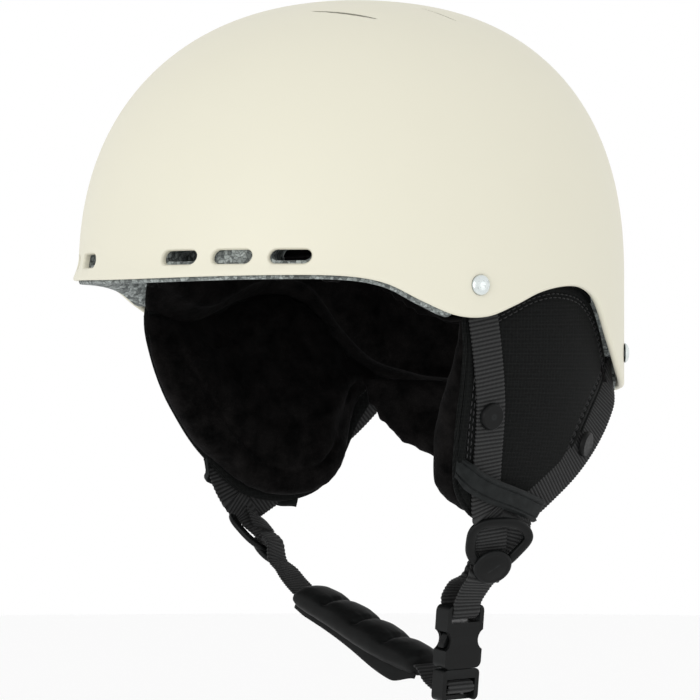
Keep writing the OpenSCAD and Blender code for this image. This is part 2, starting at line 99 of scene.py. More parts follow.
def make_camera():
    data = bpy.data.cameras.new("camera")
    data.lens = LENS
    data.sensor_width = 36
    data.clip_start, data.clip_end = 0.05, 60
    camera = add_object("camera", data)
    turn = math.radians(VIEW_TURN)
    back = Vector((math.sin(turn), -math.cos(turn), 0))
    camera.location = VIEW_TARGET + back * VIEW_DISTANCE
    aim(camera, -back)
    bpy.context.scene.camera = camera


def area_light(name, place, size, power):
    data = bpy.data.lights.new(name, "AREA")
    data.shape = "DISK"
    data.size = size
    data.energy = power
    light = add_object(name, data)
    light.location = place
    aim(light, LIGHT_TARGET - Vector(place))


def make_studio():
    world = bpy.data.worlds.new("studio")
    bpy.context.scene.world = world
    world.use_nodes = True
    nodes, links = world.node_tree.nodes, world.node_tree.links
    split = nodes.new("ShaderNodeSeparateXYZ")
    links.new(nodes.new("ShaderNodeTexCoord").outputs["Generated"], split.inputs[0])
    height = nodes.new("ShaderNodeMapRange")
    links.new(split.outputs["Z"], height.inputs["Value"])
    for key, number in zip(RANGE_KEYS, (0.35, 1.0, 1.0, 0.92)):
        height.inputs[key].default_value = number
    links.new(height.outputs["Result"], nodes["Background"].inputs["Color"])
    area_light("key", (0.75, -1.55, 0.05), 1.3, 6.8)
    area_light("fill", (1.5, 0.4, -0.1), 1.0, 1.0)
    bpy.context.scene.view_settings.view_transform = "Standard"
    floor_z = cad_box[0][2] - FLOOR_DROP
    bpy.ops.mesh.primitive_circle_add(vertices=96, radius=FLOOR_RADIUS, fill_type="NGON",
                                      location=(0, 0, floor_z))
    floor = bpy.context.object
    floor.name = "floor"
    paper = bpy.data.materials.new("floor_paper")
    paper.use_nodes = True
    shader = paper.node_tree.nodes["Principled BSDF"]
    shader.inputs["Base Color"].default_value = (1.0, 1.0, 1.0, 1)
    shader.inputs["Roughness"].default_value = 0.9
    shader.inputs["Specular IOR Level"].default_value = 0.5
    floor.data.materials.append(paper)


# --- materials --------------------------------------------------------------------

class Surface:
    """A material on a Principled shader, with short calls for the nodes that drive it."""

    def __init__(self, name, **values):
        self.material = bpy.data.materials.new(name)
        self.material.use_nodes = True
        self.tree = self.material.node_tree
        self.shader = self.tree.nodes["Principled BSDF"]
        self.place = self.node("ShaderNodeTexCoord").outputs["Object"]
        for socket, value in values.items():
            self.set(socket, value)

    def node(self, kind, **settings):
        made = self.tree.nodes.new(kind)
        for key, value in settings.items():
            setattr(made, key, value)
        return made

    def set(self, socket, value):
        """Sets or links one of the shader's own sockets."""
        self.join(value, self.shader.inputs[socket.replace("_", " ")])

    def join(self, value, target):
        """Links a socket to the target, or sets the target to a number or colour."""
        if isinstance(value, bpy.types.NodeSocket):
            self.tree.links.new(value, target)
        else:
            target.default_value = value

    def noise(self, size_mm, detail=3, roughness=0.55, stretch=(1, 1, 1), place=None):
        """Noise with features of about this size; stretch lengthens them along an axis."""
        mapping = self.node("ShaderNodeMapping")
        mapping.inputs["Scale"].default_value = [1 / s for s in stretch]
        self.join(place or self.place, mapping.inputs["Vector"])
        texture = self.node("ShaderNodeTexNoise")
        self.join(mapping.outputs["Vector"], texture.inputs["Vector"])
        for key, number in (("Scale", 1 / (size_mm * MM)), ("Detail", detail), ("Roughness", roughness)):
            texture.inputs[key].default_value = number
        return texture.outputs["Fac"]

    def cells(self, size_mm, feature="F1", output="Distance"):
        texture = self.node("ShaderNodeTexVoronoi", feature=feature)
        self.join(self.place, texture.inputs["Vector"])
        texture.inputs["Scale"].default_value = 1 / (size_mm * MM)
        return texture.outputs[output]

    def math(self, operation, a, b=0.0, clamp=False):
        made = self.node("ShaderNodeMath", operation=operation, use_clamp=clamp)
        self.join(a, made.inputs[0])
        self.join(b, made.inputs[1])
        return made.outputs[0]

    def span(self, value, low, high, to_low=0.0, to_high=1.0):
        """Maps a value from one range to another, held at the ends."""
        made = self.node("ShaderNodeMapRange")
        self.join(value, made.inputs["Value"])
        for key, number in zip(RANGE_KEYS, (low, high, to_low, to_high)):
            self.join(number, made.inputs[key])
        return made.outputs["Result"]

    def blend(self, share, a, b):
        """Colour between a and b."""
        made = self.node("ShaderNodeMix", data_type="RGBA")
        self.join(share, made.inputs[0])
        for value, target in ((a, made.inputs[6]), (b, made.inputs[7])):
            self.join((*value, 1) if isinstance(value, tuple) else value, target)
        return made.outputs[2]

    def wave(self, value, pitch):
        """0 to 1 and back with this pitch, for a value in the same unit."""
        turned = self.math("MULTIPLY", value, 2 * math.pi / pitch)
        return self.span(self.math("SINE", turned), -1, 1)

    def axes(self, source=None):
        """The three parts of a place or colour."""
        split = self.node("ShaderNodeSeparateXYZ")
        self.join(source or self.place, split.inputs[0])
        return split.outputs

    def attribute(self, name):
        return self.node("ShaderNodeAttribute", attribute_name=name).outputs["Vector"]

    def colour(self, share, dark, light):
        self.set("Base Color", self.blend(share, dark, light))

    def relief(self, height, depth_mm, strength=1.0, under=None):
        """Bump of this depth; under is a bump that it lies on."""
        made = self.node("ShaderNodeBump")
        self.join(height, made.inputs["Height"])
        made.inputs["Strength"].default_value = strength
        made.inputs["Distance"].default_value = depth_mm * MM
        if under is not None:
            self.join(under, made.inputs["Normal"])
        return made.outputs["Normal"]


def shell_paint():
    s = Surface("shell_paint", Specular_IOR_Level=0.36)
    broad = s.noise(60, 2)
    fine = s.noise(0.5, 2)
    s.colour(broad, (0.722, 0.700, 0.580), (0.705, 0.682, 0.562))
    s.set("Roughness", s.span(fine, 0.3, 0.7, 0.46, 0.58))
    peel = s.relief(s.noise(3.2, 2), 0.05, 0.25)
    s.set("Normal", s.relief(fine, 0.02, 0.25, under=peel))
    return s.material


def bead_foam():
    s = Surface("bead_foam", Specular_IOR_Level=0.25)
    bead = s.cells(1.9, output="Color")
    gap = s.cells(1.9, feature="DISTANCE_TO_EDGE")
    shade = s.span(s.axes(bead)[0], 0.0, 1.0, 0.12, 0.62)
    grain = s.math("MULTIPLY", shade, s.span(s.noise(0.5, 3), 0.3, 0.7, 0.6, 1.25))
    seam = s.span(gap, 0.0, 0.12, 0.5, 1.0)
    s.colour(s.math("MULTIPLY", grain, seam), (0.02, 0.024, 0.024), (0.66, 0.72, 0.70))
    s.set("Roughness", s.span(shade, 0.1, 0.7, 0.75, 0.55))
    dimple = s.relief(s.span(gap, 0.0, 0.16), 0.35, 0.8)
    s.set("Normal", s.relief(s.noise(0.5, 2), 0.05, 0.4, under=dimple))
    return s.material


def plush():
    """Brushed fleece: short pile, with patches where the nap lies another way; the same patches are painted
    lighter in colour as painted sheen highlights.
    """
    s = Surface("black_plush", Roughness=0.95, Specular_IOR_Level=0.03, Sheen_Weight=0.03,
                Sheen_Roughness=0.45, Sheen_Tint=(0.75, 0.75, 0.78, 1))
    nap_patches_and_painted_sheen = s.span(s.noise(9, 4, 0.62), 0.32, 0.70)
    fibres = s.noise(0.55, 3, 0.7)
    share = s.math("MULTIPLY", nap_patches_and_painted_sheen, s.span(fibres, 0.3, 0.7, 0.45, 1.2), clamp=True)
    # Colour is lighter in the nap patches: painted sheen highlights.
    s.colour(share, (0.0008, 0.0008, 0.0008), (0.0088, 0.0080, 0.0078))
    lay = s.relief(nap_patches_and_painted_sheen, 0.8, 0.45)
    s.set("Normal", s.relief(fibres, 0.35, 0.75, under=lay))
    return s.material


def woven_panel():
    """Fine plain weave with a small raised grid."""
    s = Surface("woven_panel", Roughness=0.9, Specular_IOR_Level=0.07, Sheen_Weight=0.02,
                Sheen_Roughness=0.5)
    axes = s.axes()
    warp = s.wave(axes[1], 0.62 * MM)
    weft = s.wave(axes[2], 0.62 * MM)
    lines = [s.span(s.wave(axes[i], 2.2 * MM), 0.80, 1.0) for i in (1, 2)]
    grid = s.math("MAXIMUM", *lines)
    thread = s.math("MULTIPLY", warp, weft)
    mottle = s.span(s.noise(1.4, 3), 0.3, 0.7, 0.55, 1.15)
    raised = s.math("ADD", s.math("MULTIPLY", thread, 0.8), s.math("MULTIPLY", grid, 0.2))
    share = s.math("MULTIPLY", raised, mottle)
    s.colour(share, (0.0018, 0.0022, 0.0021), (0.0165, 0.0175, 0.017))
    s.set("Normal", s.relief(share, 0.22, 0.8))
    return s.material


def ribbed_webbing():
    """Ribs are in the mesh; this adds the yarns along and across them."""
    s = Surface("ribbed_webbing", Roughness=0.75, Specular_IOR_Level=0.14, Sheen_Weight=0.05,
                Sheen_Roughness=0.4)
    axes = s.axes(s.attribute("weave"))
    rib = axes[2]
    yarn = s.wave(axes[1], 0.72)
    fuzz = s.span(s.noise(0.35, 3), 0.3, 0.7, 0.6, 1.2)
    # Rib crests and yarn tops are painted lighter and the hollows darker: painted highlight and shade over
    # the real ribs.
    raised = s.math("ADD", s.math("MULTIPLY", yarn, 0.25), s.math("MULTIPLY", rib, 0.75))
    share = s.math("MULTIPLY", raised, fuzz)
    s.colour(share, (0.002, 0.002, 0.0022), (0.048, 0.049, 0.049))
    s.set("Normal", s.relief(s.math("ADD", yarn, fuzz), 0.12, 0.6))
    return s.material


def satin_cloth():
    s = Surface("satin_cloth", Roughness=0.6, Specular_IOR_Level=0.13, Sheen_Weight=0.03,
                Sheen_Roughness=0.35)
    creases_and_painted_sheen = s.noise(7, 3, 0.5, stretch=(4, 1, 1))
    weave = s.noise(0.4, 2)
    # Colour follows the crease noise, lighter along the creases and darker between them: painted sheen and
    # shade.
    share = s.span(creases_and_painted_sheen, 0.3, 0.7)
    s.colour(share, (0.0018, 0.0020, 0.0020), (0.0060, 0.0066, 0.0066))
    s.set("Normal", s.relief(weave, 0.06, 0.4, under=s.relief(creases_and_painted_sheen, 0.7, 0.35)))
    return s.material


def moulded_plastic():
    s = Surface("moulded_plastic", Specular_IOR_Level=0.16)
    grain = s.noise(0.3, 2)
    scuffs = s.span(s.noise(2.2, 4, 0.7, stretch=(1, 1, 4)), 0.58, 0.78)
    # Sharp convex edges are painted lighter: a painted edge highlight. The stretched scuffs are real wear.
    painted_light_and_shade = s.span(s.node("ShaderNodeNewGeometry").outputs["Pointiness"], 0.52, 0.60)
    share = s.math("MAXIMUM", s.math("MULTIPLY", scuffs, 0.35), s.math("MULTIPLY", painted_light_and_shade, 0.8))
    s.colour(share, (0.0022, 0.0025, 0.0025), (0.013, 0.0145, 0.015))
    s.set("Roughness", s.span(s.noise(1.5, 3), 0.3, 0.7, 0.36, 0.50))
    s.set("Normal", s.relief(grain, 0.03, 0.35))
    return s.material


def keeper_rubber():
    s = Surface("keeper_rubber", Specular_IOR_Level=0.12)
    bloom = s.span(s.noise(4, 4, 0.6), 0.35, 0.75)
    s.colour(bloom, (0.0062, 0.0074, 0.0074), (0.0135, 0.0155, 0.0155))
    s.set("Roughness", s.span(s.noise(0.4, 2), 0.3, 0.7, 0.52, 0.66))
    s.set("Normal", s.relief(s.noise(0.35, 2), 0.03, 0.4))
    return s.material


def rivet_steel():
    s = Surface("rivet_steel", Metallic=1.0)
    brushed = s.noise(0.5, 4, 0.6, stretch=(6, 6, 1))
    spots = s.span(s.noise(1.1, 3), 0.62, 0.75)
    # Painted shade and reflections: darker in the crease against the shell (AO) and in dark noise spots,
    # standing in for dark reflections of the room.
    crease = s.node("ShaderNodeAmbientOcclusion", samples=8)
    crease.inputs["Distance"].default_value = 2.2 * MM
    crease_painted_shade = s.span(crease.outputs["AO"], 0.45, 0.98)
    painted_light_and_shade = s.math("MULTIPLY", crease_painted_shade, s.span(spots, 0, 1, 1.0, 0.35))
    s.colour(painted_light_and_shade, (0.07, 0.08, 0.08), (0.72, 0.77, 0.76))
    s.set("Roughness", s.span(brushed, 0.3, 0.7, 0.16, 0.32))
    s.set("Normal", s.relief(brushed, 0.015, 0.4))
    return s.material


def sewing_thread():
    s = Surface("sewing_thread", Roughness=0.6, Specular_IOR_Level=0.3)
    twist = s.noise(0.25, 2)
    s.colour(twist, (0.006, 0.006, 0.006), (0.040, 0.041, 0.042))
    s.set("Normal", s.relief(twist, 0.05, 0.6))
    return s.material


# --- curves -----------------------------------------------------------------------

def clamp01(t):
    return np.clip(t, 0, 1)


def ease(t):
    c = clamp01(t)
    return c * c * (3 - 2 * c)


def bell(x, width):
    return np.exp(-((x / width) ** 2))


def mix(a, b, t):
    return a + (b - a) * t


def unit(v):
    return v / np.linalg.norm(v, axis=-1, keepdims=True)


def through(marks, x):
    """Smooth curve through [place, value] marks."""
    place, value = np.array(marks, float).T
    slope = np.zeros(len(place))
    slope[1:-1] = (value[2:] - value[:-2]) / (place[2:] - place[:-2])
    i = np.clip(np.searchsorted(place, x) - 1, 0, len(place) - 2)
    w = place[i + 1] - place[i]
    t = clamp01((x - place[i]) / w)
    return (value[i] * (2 * t**3 - 3 * t**2 + 1) + value[i + 1] * (3 * t**2 - 2 * t**3)
            + w * slope[i] * (t**3 - 2 * t**2 + t) + w * slope[i + 1] * (t**3 - t**2))


def spline_points(a, b, c, d, n):
    t = (np.arange(n) / n)[:, None]
    return b + 0.5 * t * (c - a + t * (2 * a - 5 * b + 4 * c - d + t * (3 * (b - c) + d - a)))


def open_spline(points, n):
    p = np.array(points, float)
    k = len(p)
    parts = [spline_points(p[max(i - 1, 0)], p[i], p[i + 1], p[min(i + 2, k - 1)], n) for i in range(k - 1)]
    return np.concatenate([*parts, p[-1:]])


def closed_spline(points, n):
    p = np.array(points, float)
    k = len(p)
    return np.concatenate([spline_points(p[i - 1], p[i], p[(i + 1) % k], p[(i + 2) % k], n)
                           for i in range(k)])


def run_length(points):
    """Length along the points up to each of them."""
    return np.concatenate([[0], np.cumsum(np.linalg.norm(np.diff(points, axis=0), axis=1))])


def resample(step, points, *others):
    """Points, and values that go with them, at even steps along the points."""
    s = run_length(points)
    even = np.linspace(0, s[-1], max(int(s[-1] / step), 2) + 1)
    return [even] + [np.stack([np.interp(even, s, a[:, j]) for j in range(a.shape[1])], 1)
                     for a in (points, *others)]


def headings(path):
    return unit(np.gradient(path, axis=0))


# --- the head form, as in the design --------------------------------------------

shell_low, shell_high = node_box("shell")
BRIM_FLARE = 3.5
HALF_W, BACK_LEN, CROWN_H = shell_high
FRONT_LEN = -shell_low[1] - BRIM_FLARE
SHELL_T = 3.0
PLAN_P = 2.12
SIDE_N = 2.33
CROWN_BACK = 5.0
FOAM_INSET = SHELL_T + 0.4
CAVITY_INSET = FOAM_INSET + 21
WEB_W = 16.0
WEB_T = 1.5
WEB_SIDES = 28
RIB_PITCH = 1.8
CHIN_Y = 8.0
RIM_MARKS = [
    (0, -2), (34, -1), (48, -1.5), (56, -4.5), (64, -12), (72, -18), (80, -18.5), (88, -13.5),
    (96, -7.5), (105, -4.5), (112, -5.5), (118, -11.5), (126, -30), (136, -46), (152, -52), (180, -54),
]


def from_front(phi):
    """Angle from the front, 0 to 180 on both sides."""
    return np.abs((phi + 180) % 360 - 180)


def rim_z(phi):
    return through(RIM_MARKS, from_front(phi))


def sin_d(a):
    return np.sin(np.radians(a))


def cos_d(a):
    return np.cos(np.radians(a))


def plan_radius(phi, inset):
    a = np.where(cos_d(phi) > 0, FRONT_LEN, BACK_LEN) - inset
    wide, long = np.abs(sin_d(phi) / (HALF_W - inset)), np.abs(cos_d(phi) / a)
    return (wide**PLAN_P + long**PLAN_P) ** (-1 / PLAN_P)


def narrowing(z, inset):
    h = CROWN_H - inset
    return (1 - clamp01(z / h) ** SIDE_N) ** (1 / SIDE_N)


def form(phi, z, inset):
    """Point on the head form, moved inwards by inset."""
    phi, z, inset = np.broadcast_arrays(np.asarray(phi, float), z, inset)
    r = plan_radius(phi, inset) * narrowing(z, inset)
    return np.stack([r * sin_d(phi), CROWN_BACK * (np.maximum(z, 0) / CROWN_H) ** 2 - r * cos_d(phi), z], -1)


def outward(phi):
    return np.stack([sin_d(phi), -cos_d(phi), 0 * phi], -1)


def flare(phi, z):
    return BRIM_FLARE * ease((62 - from_front(phi)) / 30) * clamp01(1 - (z + 2) / 13) ** 2


def flared(phi, z, inset):
    return form(phi, z, inset) + outward(phi) * flare(phi, z)[..., None]


def height_steps(phi, t, inset, lift):
    """Heights from the edge (t = 0) to the crown (1)."""
    low = rim_z(phi) + lift
    return mix(low, CROWN_H - inset, sin_d(90 * t) ** (2 / SIDE_N))


def crown_height(x, y, inset=0.0):
    """Height of the form over a place on the crown."""
    z = np.full(np.shape(x), CROWN_H * 0.9)
    for _ in range(12):
        behind = y - CROWN_BACK * (z / CROWN_H) ** 2
        share = np.hypot(x, behind) / plan_radius(np.degrees(np.arctan2(x, -behind)), inset)
        z = (CROWN_H - inset) * (1 - clamp01(share) ** SIDE_N) ** (1 / SIDE_N)
    return z


# The straps lean inwards below the shell; the ear pads lie just inside them.
def side_point(y, z, inset):
    y, z, inset = np.broadcast_arrays(np.asarray(y, float), z, inset)
    a = np.where(y < 0, FRONT_LEN, BACK_LEN) - inset
    return np.stack([(HALF_W - inset) * clamp01(1 - np.abs(y / a) ** PLAN_P) ** (1 / PLAN_P), y, z], -1)


def strap_inset(z):
    return SHELL_T + 2.6 + 0.0021 * np.maximum(0, -z - 18) ** 2


def side_normal(y, z):
    inset = strap_inset(z)
    a = np.where(y < 0, FRONT_LEN, BACK_LEN) - inset
    half = HALF_W - inset
    x = side_point(y, z, inset)[..., 0]
    across = unit(np.stack([(x / half) ** (PLAN_P - 1) / half,
                            np.sign(y) * np.abs(y / a) ** (PLAN_P - 1) / a, 0 * y], -1))
    lean = (strap_inset(z + 1) - strap_inset(z - 1)) / 2
    return unit(across + np.stack([0 * z, 0 * z, lean], -1))


def pad_face(z):
    return strap_inset(z) + WEB_T / 2 + 0.8


# --- meshes -----------------------------------------------------------------------

def skin(rings, first=None, last=None):
    """Closed skin over a stack of rings, with a fan at each end: points and faces."""
    rings = np.asarray(rings, float)
    k, n = rings.shape[:2]
    index = np.arange(k * n).reshape(k, n)
    a, b = index[:-1], index[1:]
    quads = np.stack([a, np.roll(a, -1, 1), np.roll(b, -1, 1), b], -1).reshape(-1, 4).tolist()
    ends = [rings[0].mean(0) if first is None else first, rings[-1].mean(0) if last is None else last]
    points = np.concatenate([rings.reshape(-1, 3), ends])
    fans = [[k * n, (i + 1) % n, i] for i in range(n)]
    fans += [[k * n + 1, (k - 1) * n + i, (k - 1) * n + (i + 1) % n] for i in range(n)]
    return points, quads + fans


CLOTH_FRAMES = 20
SIDES = {"left": 1, "right": -1}
SHARP_ANGLE = 35
BEVEL_ANGLE = 28
WELD_GAP = 0.01 * MM


def smooth(mesh):
    mesh.polygons.foreach_set("use_smooth", np.ones(len(mesh.polygons), bool))


def make_piece(name, points, faces, material, side=1, sharp=None):
    """Object from points in millimetres; side -1 mirrors it to the right."""
    mesh = bpy.data.meshes.new(name)
    points = np.array(points, float) * MM
    points[:, 0] *= side
    mesh.from_pydata(points.tolist(), [], [list(f) for f in faces])
    bm = bmesh.new()
    bm.from_mesh(mesh)
    bmesh.ops.recalc_face_normals(bm, faces=bm.faces)
    bm.to_mesh(mesh)
    bm.free()
    smooth(mesh)
    if sharp is not None:
        mesh.set_sharp_from_angle(angle=math.radians(sharp))
    mesh.materials.append(material)
    return add_object(name, mesh)


def attach(piece, body, node=None):
    """Joins a piece to its body, and hides the CAD node that it stands for."""
    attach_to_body(piece, body)
    if node:
        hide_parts(node)


def settle(piece):
    """Replaces a piece's mesh by what its modifiers make of it."""
    depsgraph = bpy.context.evaluated_depsgraph_get()
    mesh = bpy.data.meshes.new_from_object(piece.evaluated_get(depsgraph))
    piece.modifiers.clear()
    piece.data = mesh


def add_modifier(piece, kind, **settings):
    modifier = piece.modifiers.new(kind.lower(), kind)
    for key, value in settings.items():
        setattr(modifier, key, value)
    return modifier


def apply_modifier(piece, kind, **settings):
    add_modifier(piece, kind, **settings)
    settle(piece)


def carve(piece, cutters):
    """Cuts closed shapes out of a piece."""
    for points, faces in cutters:
        cutter = make_piece("cutter", points, faces, piece.data.materials[0])
        apply_modifier(piece, "BOOLEAN", object=cutter, operation="DIFFERENCE", solver="MANIFOLD")
        bpy.data.objects.remove(cutter)
    smooth(piece.data)
    piece.data.set_sharp_from_angle(angle=math.radians(SHARP_ANGLE))


def points_of(piece):
    co = np.zeros(len(piece.data.vertices) * 3)
    piece.data.vertices.foreach_get("co", co)
    return co.reshape(-1, 3) / MM


def set_points(piece, points):
    piece.data.vertices.foreach_set("co", (np.asarray(points) * MM).ravel())
    piece.data.update()


def normals_of(piece):
    out = np.zeros(len(piece.data.vertices) * 3)
    piece.data.vertex_normals.foreach_get("vector", out)
    return out.reshape(-1, 3)


def distance_to(points, line):
    """Distance from each point to the nearest point of a finely sampled line."""
    best = np.full(len(points), 1e9)
    for start in range(0, len(line), 64):
        gap = points[:, None, :] - line[None, start:start + 64, :]
        best = np.minimum(best, (gap**2).sum(-1).min(1))
    return np.sqrt(best)


def swell(piece, voxel, cap, pressure=4.0, hold=None):
    """Stuffs a pad: an even remesh, a cloth simulation under pressure, and a limit to each point's move."""
    apply_modifier(piece, "REMESH", mode="VOXEL", voxel_size=voxel * MM)
    apply_modifier(piece, "SMOOTH", factor=0.5, iterations=3)
    before = points_of(piece)
    modifier = add_modifier(piece, "CLOTH")
    cloth = modifier.settings
    cloth.quality = 4
    cloth.mass = 0.25
    cloth.use_pressure = True
    cloth.uniform_pressure_force = pressure
    cloth.tension_stiffness = cloth.compression_stiffness = 12
    cloth.bending_stiffness = 1.5
    cloth.effector_weights.gravity = 0
    modifier.collision_settings.use_collision = False
    modifier.point_cache.frame_end = CLOTH_FRAMES
    for step in range(1, CLOTH_FRAMES + 1):
        bpy.context.scene.frame_set(step)
    settle(piece)
    bpy.context.scene.frame_set(1)
    move = points_of(piece) - before
    far = np.linalg.norm(move, axis=1, keepdims=True)
    move *= np.tanh(far / cap) * cap / np.maximum(far, 1e-6)
    after = before + move
    set_points(piece, after if hold is None else hold(after))
    apply_modifier(piece, "SUBSURF", levels=1)
    smooth(piece.data)


def circle(middle, side, up, radius, count):
    a = np.linspace(0, 2 * np.pi, count, endpoint=False)[:, None]
    return middle + radius * (np.cos(a) * side + np.sin(a) * up)


def tube_rings(path, radius, count=10, closed=False):
    """Round tube about a path."""
    path = np.asarray(path, float)
    heading = unit(np.roll(path, -1, 0) - np.roll(path, 1, 0)) if closed else headings(path)
    side = np.cross(heading[0], [0.3, 0.5, 0.81])
    rings = []
    for p, h in zip(path, heading):
        side = unit(side - h * (side @ h))
        rings.append(circle(p, side, np.cross(h, side), radius, count))
    return np.array(rings)


def rounded(count, wide_power, tall_power=None, start=0.0):
    """Across and up shares of a closed section between an ellipse (power 1) and a rectangle (0)."""
    a = 2 * np.pi * (np.arange(count) + start) / count
    bend = lambda v, power: np.sign(v) * np.abs(v) ** power
    return bend(np.cos(a), wide_power), bend(np.sin(a), tall_power or wide_power)


def loop_skin(rings):
    """Skin over rings whose last one joins the first."""
    k, n = rings.shape[:2]
    index = np.arange(k * n).reshape(k, n)
    b = np.roll(index, -1, 0)
    quads = np.stack([index, np.roll(index, -1, 1), np.roll(b, -1, 1), b], -1).reshape(-1, 4)
    return rings.reshape(-1, 3), quads


def piping(name, path, radius, material, side=1):
    """Closed welt along a seam."""
    return make_piece(name, *loop_skin(tube_rings(path, radius, closed=True)), material, side)


STITCH, STITCH_GAP, THREAD_R = 2.3, 1.1, 0.28


def stitches(name, path, normals, material, side=1):
    """Row of thread stitches that dip into the cloth at both ends."""
    s, path, normals = resample(0.1, path, normals)
    heading = headings(path)
    points, faces = [], []
    rise = np.array([-0.35, 0.55, 0.8, 0.55, -0.35]) * THREAD_R
    thin = np.array([0.6, 1, 1.05, 1, 0.6]) * THREAD_R
    for start in np.arange(STITCH_GAP, s[-1] - STITCH, STITCH + STITCH_GAP):
        at = np.searchsorted(s, start + np.linspace(0, STITCH, 5))
        rings = []
        for i, lift, r in zip(at, rise, thin):
            up = unit(normals[i])
            rings.append(circle(path[i] + up * lift, unit(np.cross(heading[i], up)), up, r, 6))
        p, f = skin(rings)
        offset = sum(len(q) for q in points)
        points.append(p)
        faces += [[v + offset for v in face] for face in f]
    return make_piece(name, np.concatenate(points), faces, material, side)


def webbing(name, path, across, material, side=1, width=WEB_W, thickness=WEB_T):
    """Woven strap along a path: ribs across it and notched edges are real shape."""
    s, path, across = resample(RIB_PITCH / 6, path, across)
    heading = headings(path)
    normal = unit(np.cross(heading, across))
    across = np.cross(normal, heading)
    rib = 0.5 + 0.5 * np.cos(2 * np.pi * s / RIB_PITCH)
    wide, thick = rounded(WEB_SIDES, 0.32, 0.42, start=0.5)
    reach = (width / 2 - 0.28 * (1 - rib))[:, None] * wide
    rise = (thickness / 2 * (0.66 + 0.34 * rib))[:, None] * thick
    rings = path[:, None] + across[:, None] * reach[..., None] + normal[:, None] * rise[..., None]
    points, faces = skin(rings)
    piece = make_piece(name, points, faces, material, side)
    weave = np.zeros((len(points), 3), np.float32)
    weave[:-2] = np.stack([np.repeat(s, WEB_SIDES), reach.ravel(), np.repeat(rib, WEB_SIDES)], 1)
    stored = piece.data.attributes.new("weave", "FLOAT_VECTOR", "POINT")
    stored.data.foreach_set("vector", weave.ravel())
    return piece


def finish_node(node, material, bevel=0.0):
    """A CAD node that stays: material, and rounded edges where bevel says how much."""
    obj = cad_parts[node]
    obj.data.materials.clear()
    obj.data.materials.append(material)
    if bevel:
        add_modifier(obj, "WELD", merge_threshold=WELD_GAP)
        add_modifier(obj, "BEVEL", width=bevel * MM, segments=3, limit_method="ANGLE",
                     angle_limit=math.radians(BEVEL_ANGLE), use_clamp_overlap=True)


# --- shell and liner ----------------------------------------------------------------

VENT_ANGLES = (14.6, 25.7, 37.0)
VENT_Z = 7.0
VENT_SIZE = (18.0, 6.0)
CROWN_SLITS = (((27, -50), (42, -43), (54, -33)), ((29, -4), (45, 3), (58, 11)))
REAR_SLIT = ((-20, -3), (0, 5), (20, -3))
REAR_VENT_ANGLE = 157.0
REAR_VENT_Z = 63.0
RIVET_SPOTS = {"front": (77.8, -4.7), "rear": (140.5, -34.4)}


def pill(size, slant=0.0, grow=0.0):
    r = size[1] / 2 + grow
    x = size[0] / 2 - size[1] / 2
    a = np.arange(-90, 91, 10)
    right = np.stack([x + r * cos_d(a) + slant * sin_d(a), r * sin_d(a)], 1)
    a = np.arange(90, 271, 10)
    left = np.stack([r * cos_d(a) - x + slant * sin_d(a), r * sin_d(a)], 1)
    return np.concatenate([right, left])


def bent_line(line, t):
    """Points at t on a curve from a line's first mark to its last, drawn towards the middle one."""
    a, b, c = (np.array(p, float) for p in line)
    return (1 - t) ** 2 * a + 2 * t * (1 - t) * b + t**2 * c


def leaf(line, half_width, grow=0.0):
    """Outline of a slit along a bent line."""
    t = np.linspace(0, 1, 25)[:, None]
    spot = bent_line(line, t)
    d = headings(spot)
    half = half_width * np.sqrt(np.maximum(sin_d(180 * t), 0)) + grow
    side = half * np.stack([-d[:, 1], d[:, 0]], 1)
    spot = spot + d * grow * np.linspace(-1, 1, 25)[:, None]
    return np.concatenate([spot + side, (spot - side)[::-1]])


def facing(phi, u, z):
    """How far out the shell's surface is at height z, u beside the vertical line at angle phi."""
    reach = plan_radius(phi, 0) * narrowing(z, 0)
    for _ in range(8):
        shift = CROWN_BACK * (np.maximum(z, 0) / CROWN_H) ** 2 * cos_d(phi)
        turned = phi + np.degrees(np.arctan2(u, reach + shift))
        r = plan_radius(turned, 0) * narrowing(z, 0) + flare(turned, z)
        reach = np.sqrt(r**2 - u**2) - shift
    return reach


def side_cut(phi, z0, outline, depths):
    """Cutter that goes in from the side: outline(grow) is its section, depths pairs growth and depth."""
    rings = []
    for grow, out in depths:
        u, v = outline(grow).T
        reach = facing(phi, u, z0 + v) + out if abs(out) < 20 else np.full(len(u), plan_radius(phi, 0) + out)
        tangent = np.array([cos_d(phi), sin_d(phi), 0.0])
        level = np.array([0, 0, 1.0]) * (z0 + v)[:, None]
        rings.append(outward(phi) * reach[:, None] + tangent * u[:, None] + level)
    return skin(rings)


def crown_cut(line, half_width, mirror, depths):
    rings = []
    for grow, up in depths:
        xy = leaf(line, half_width, grow) * [mirror, 1]
        rings.append(np.column_stack([xy, crown_height(xy[:, 0], xy[:, 1]) + up]))
    return skin(rings)


# Growth and depth of each ring of a cutter, from outside the shell inwards
UNDERCUT = ((0.5, 5), (0.15, -0.5), (0.5, -1.0), (2.6, -1.4), (2.6, -9))
SOFT_EDGE = ((1.6, 6.0), (1.0, 0.35), (0.45, -0.25), (0.12, -0.8), (0.0, -1.4))


def crown_scoops(points):
    """How deep the outer face is pressed in on the inner side of each crown slit."""
    depth = np.zeros(len(points))
    for mirror in (1, -1):
        for line in CROWN_SLITS:
            a, _, c = (np.array(p, float) * [mirror, 1] for p in line)
            curve = bent_line(line, np.linspace(-0.16, 1.16, 90)[:, None]) * [mirror, 1]
            lift = crown_height(curve[:, 0], curve[:, 1])
            away = points - np.column_stack([curve, lift])[
                np.argmin(((points[:, None, :2] - curve[None]) ** 2).sum(-1), 1)]
            flat = np.linalg.norm(away, axis=1)
            outer = np.sign(away[:, 0] * mirror - away[:, 1] * 0.5)
            width = np.where(outer > 0, 1.0, 5.5)
            along = ((points[:, :2] - a) @ (c - a)) / ((c - a) @ (c - a))
            fade = ease((along + 0.16) / 0.3) * ease((1.16 - along) / 0.3)
            depth = np.maximum(depth, 0.5 * bell(flat, width) * fade)
    return depth


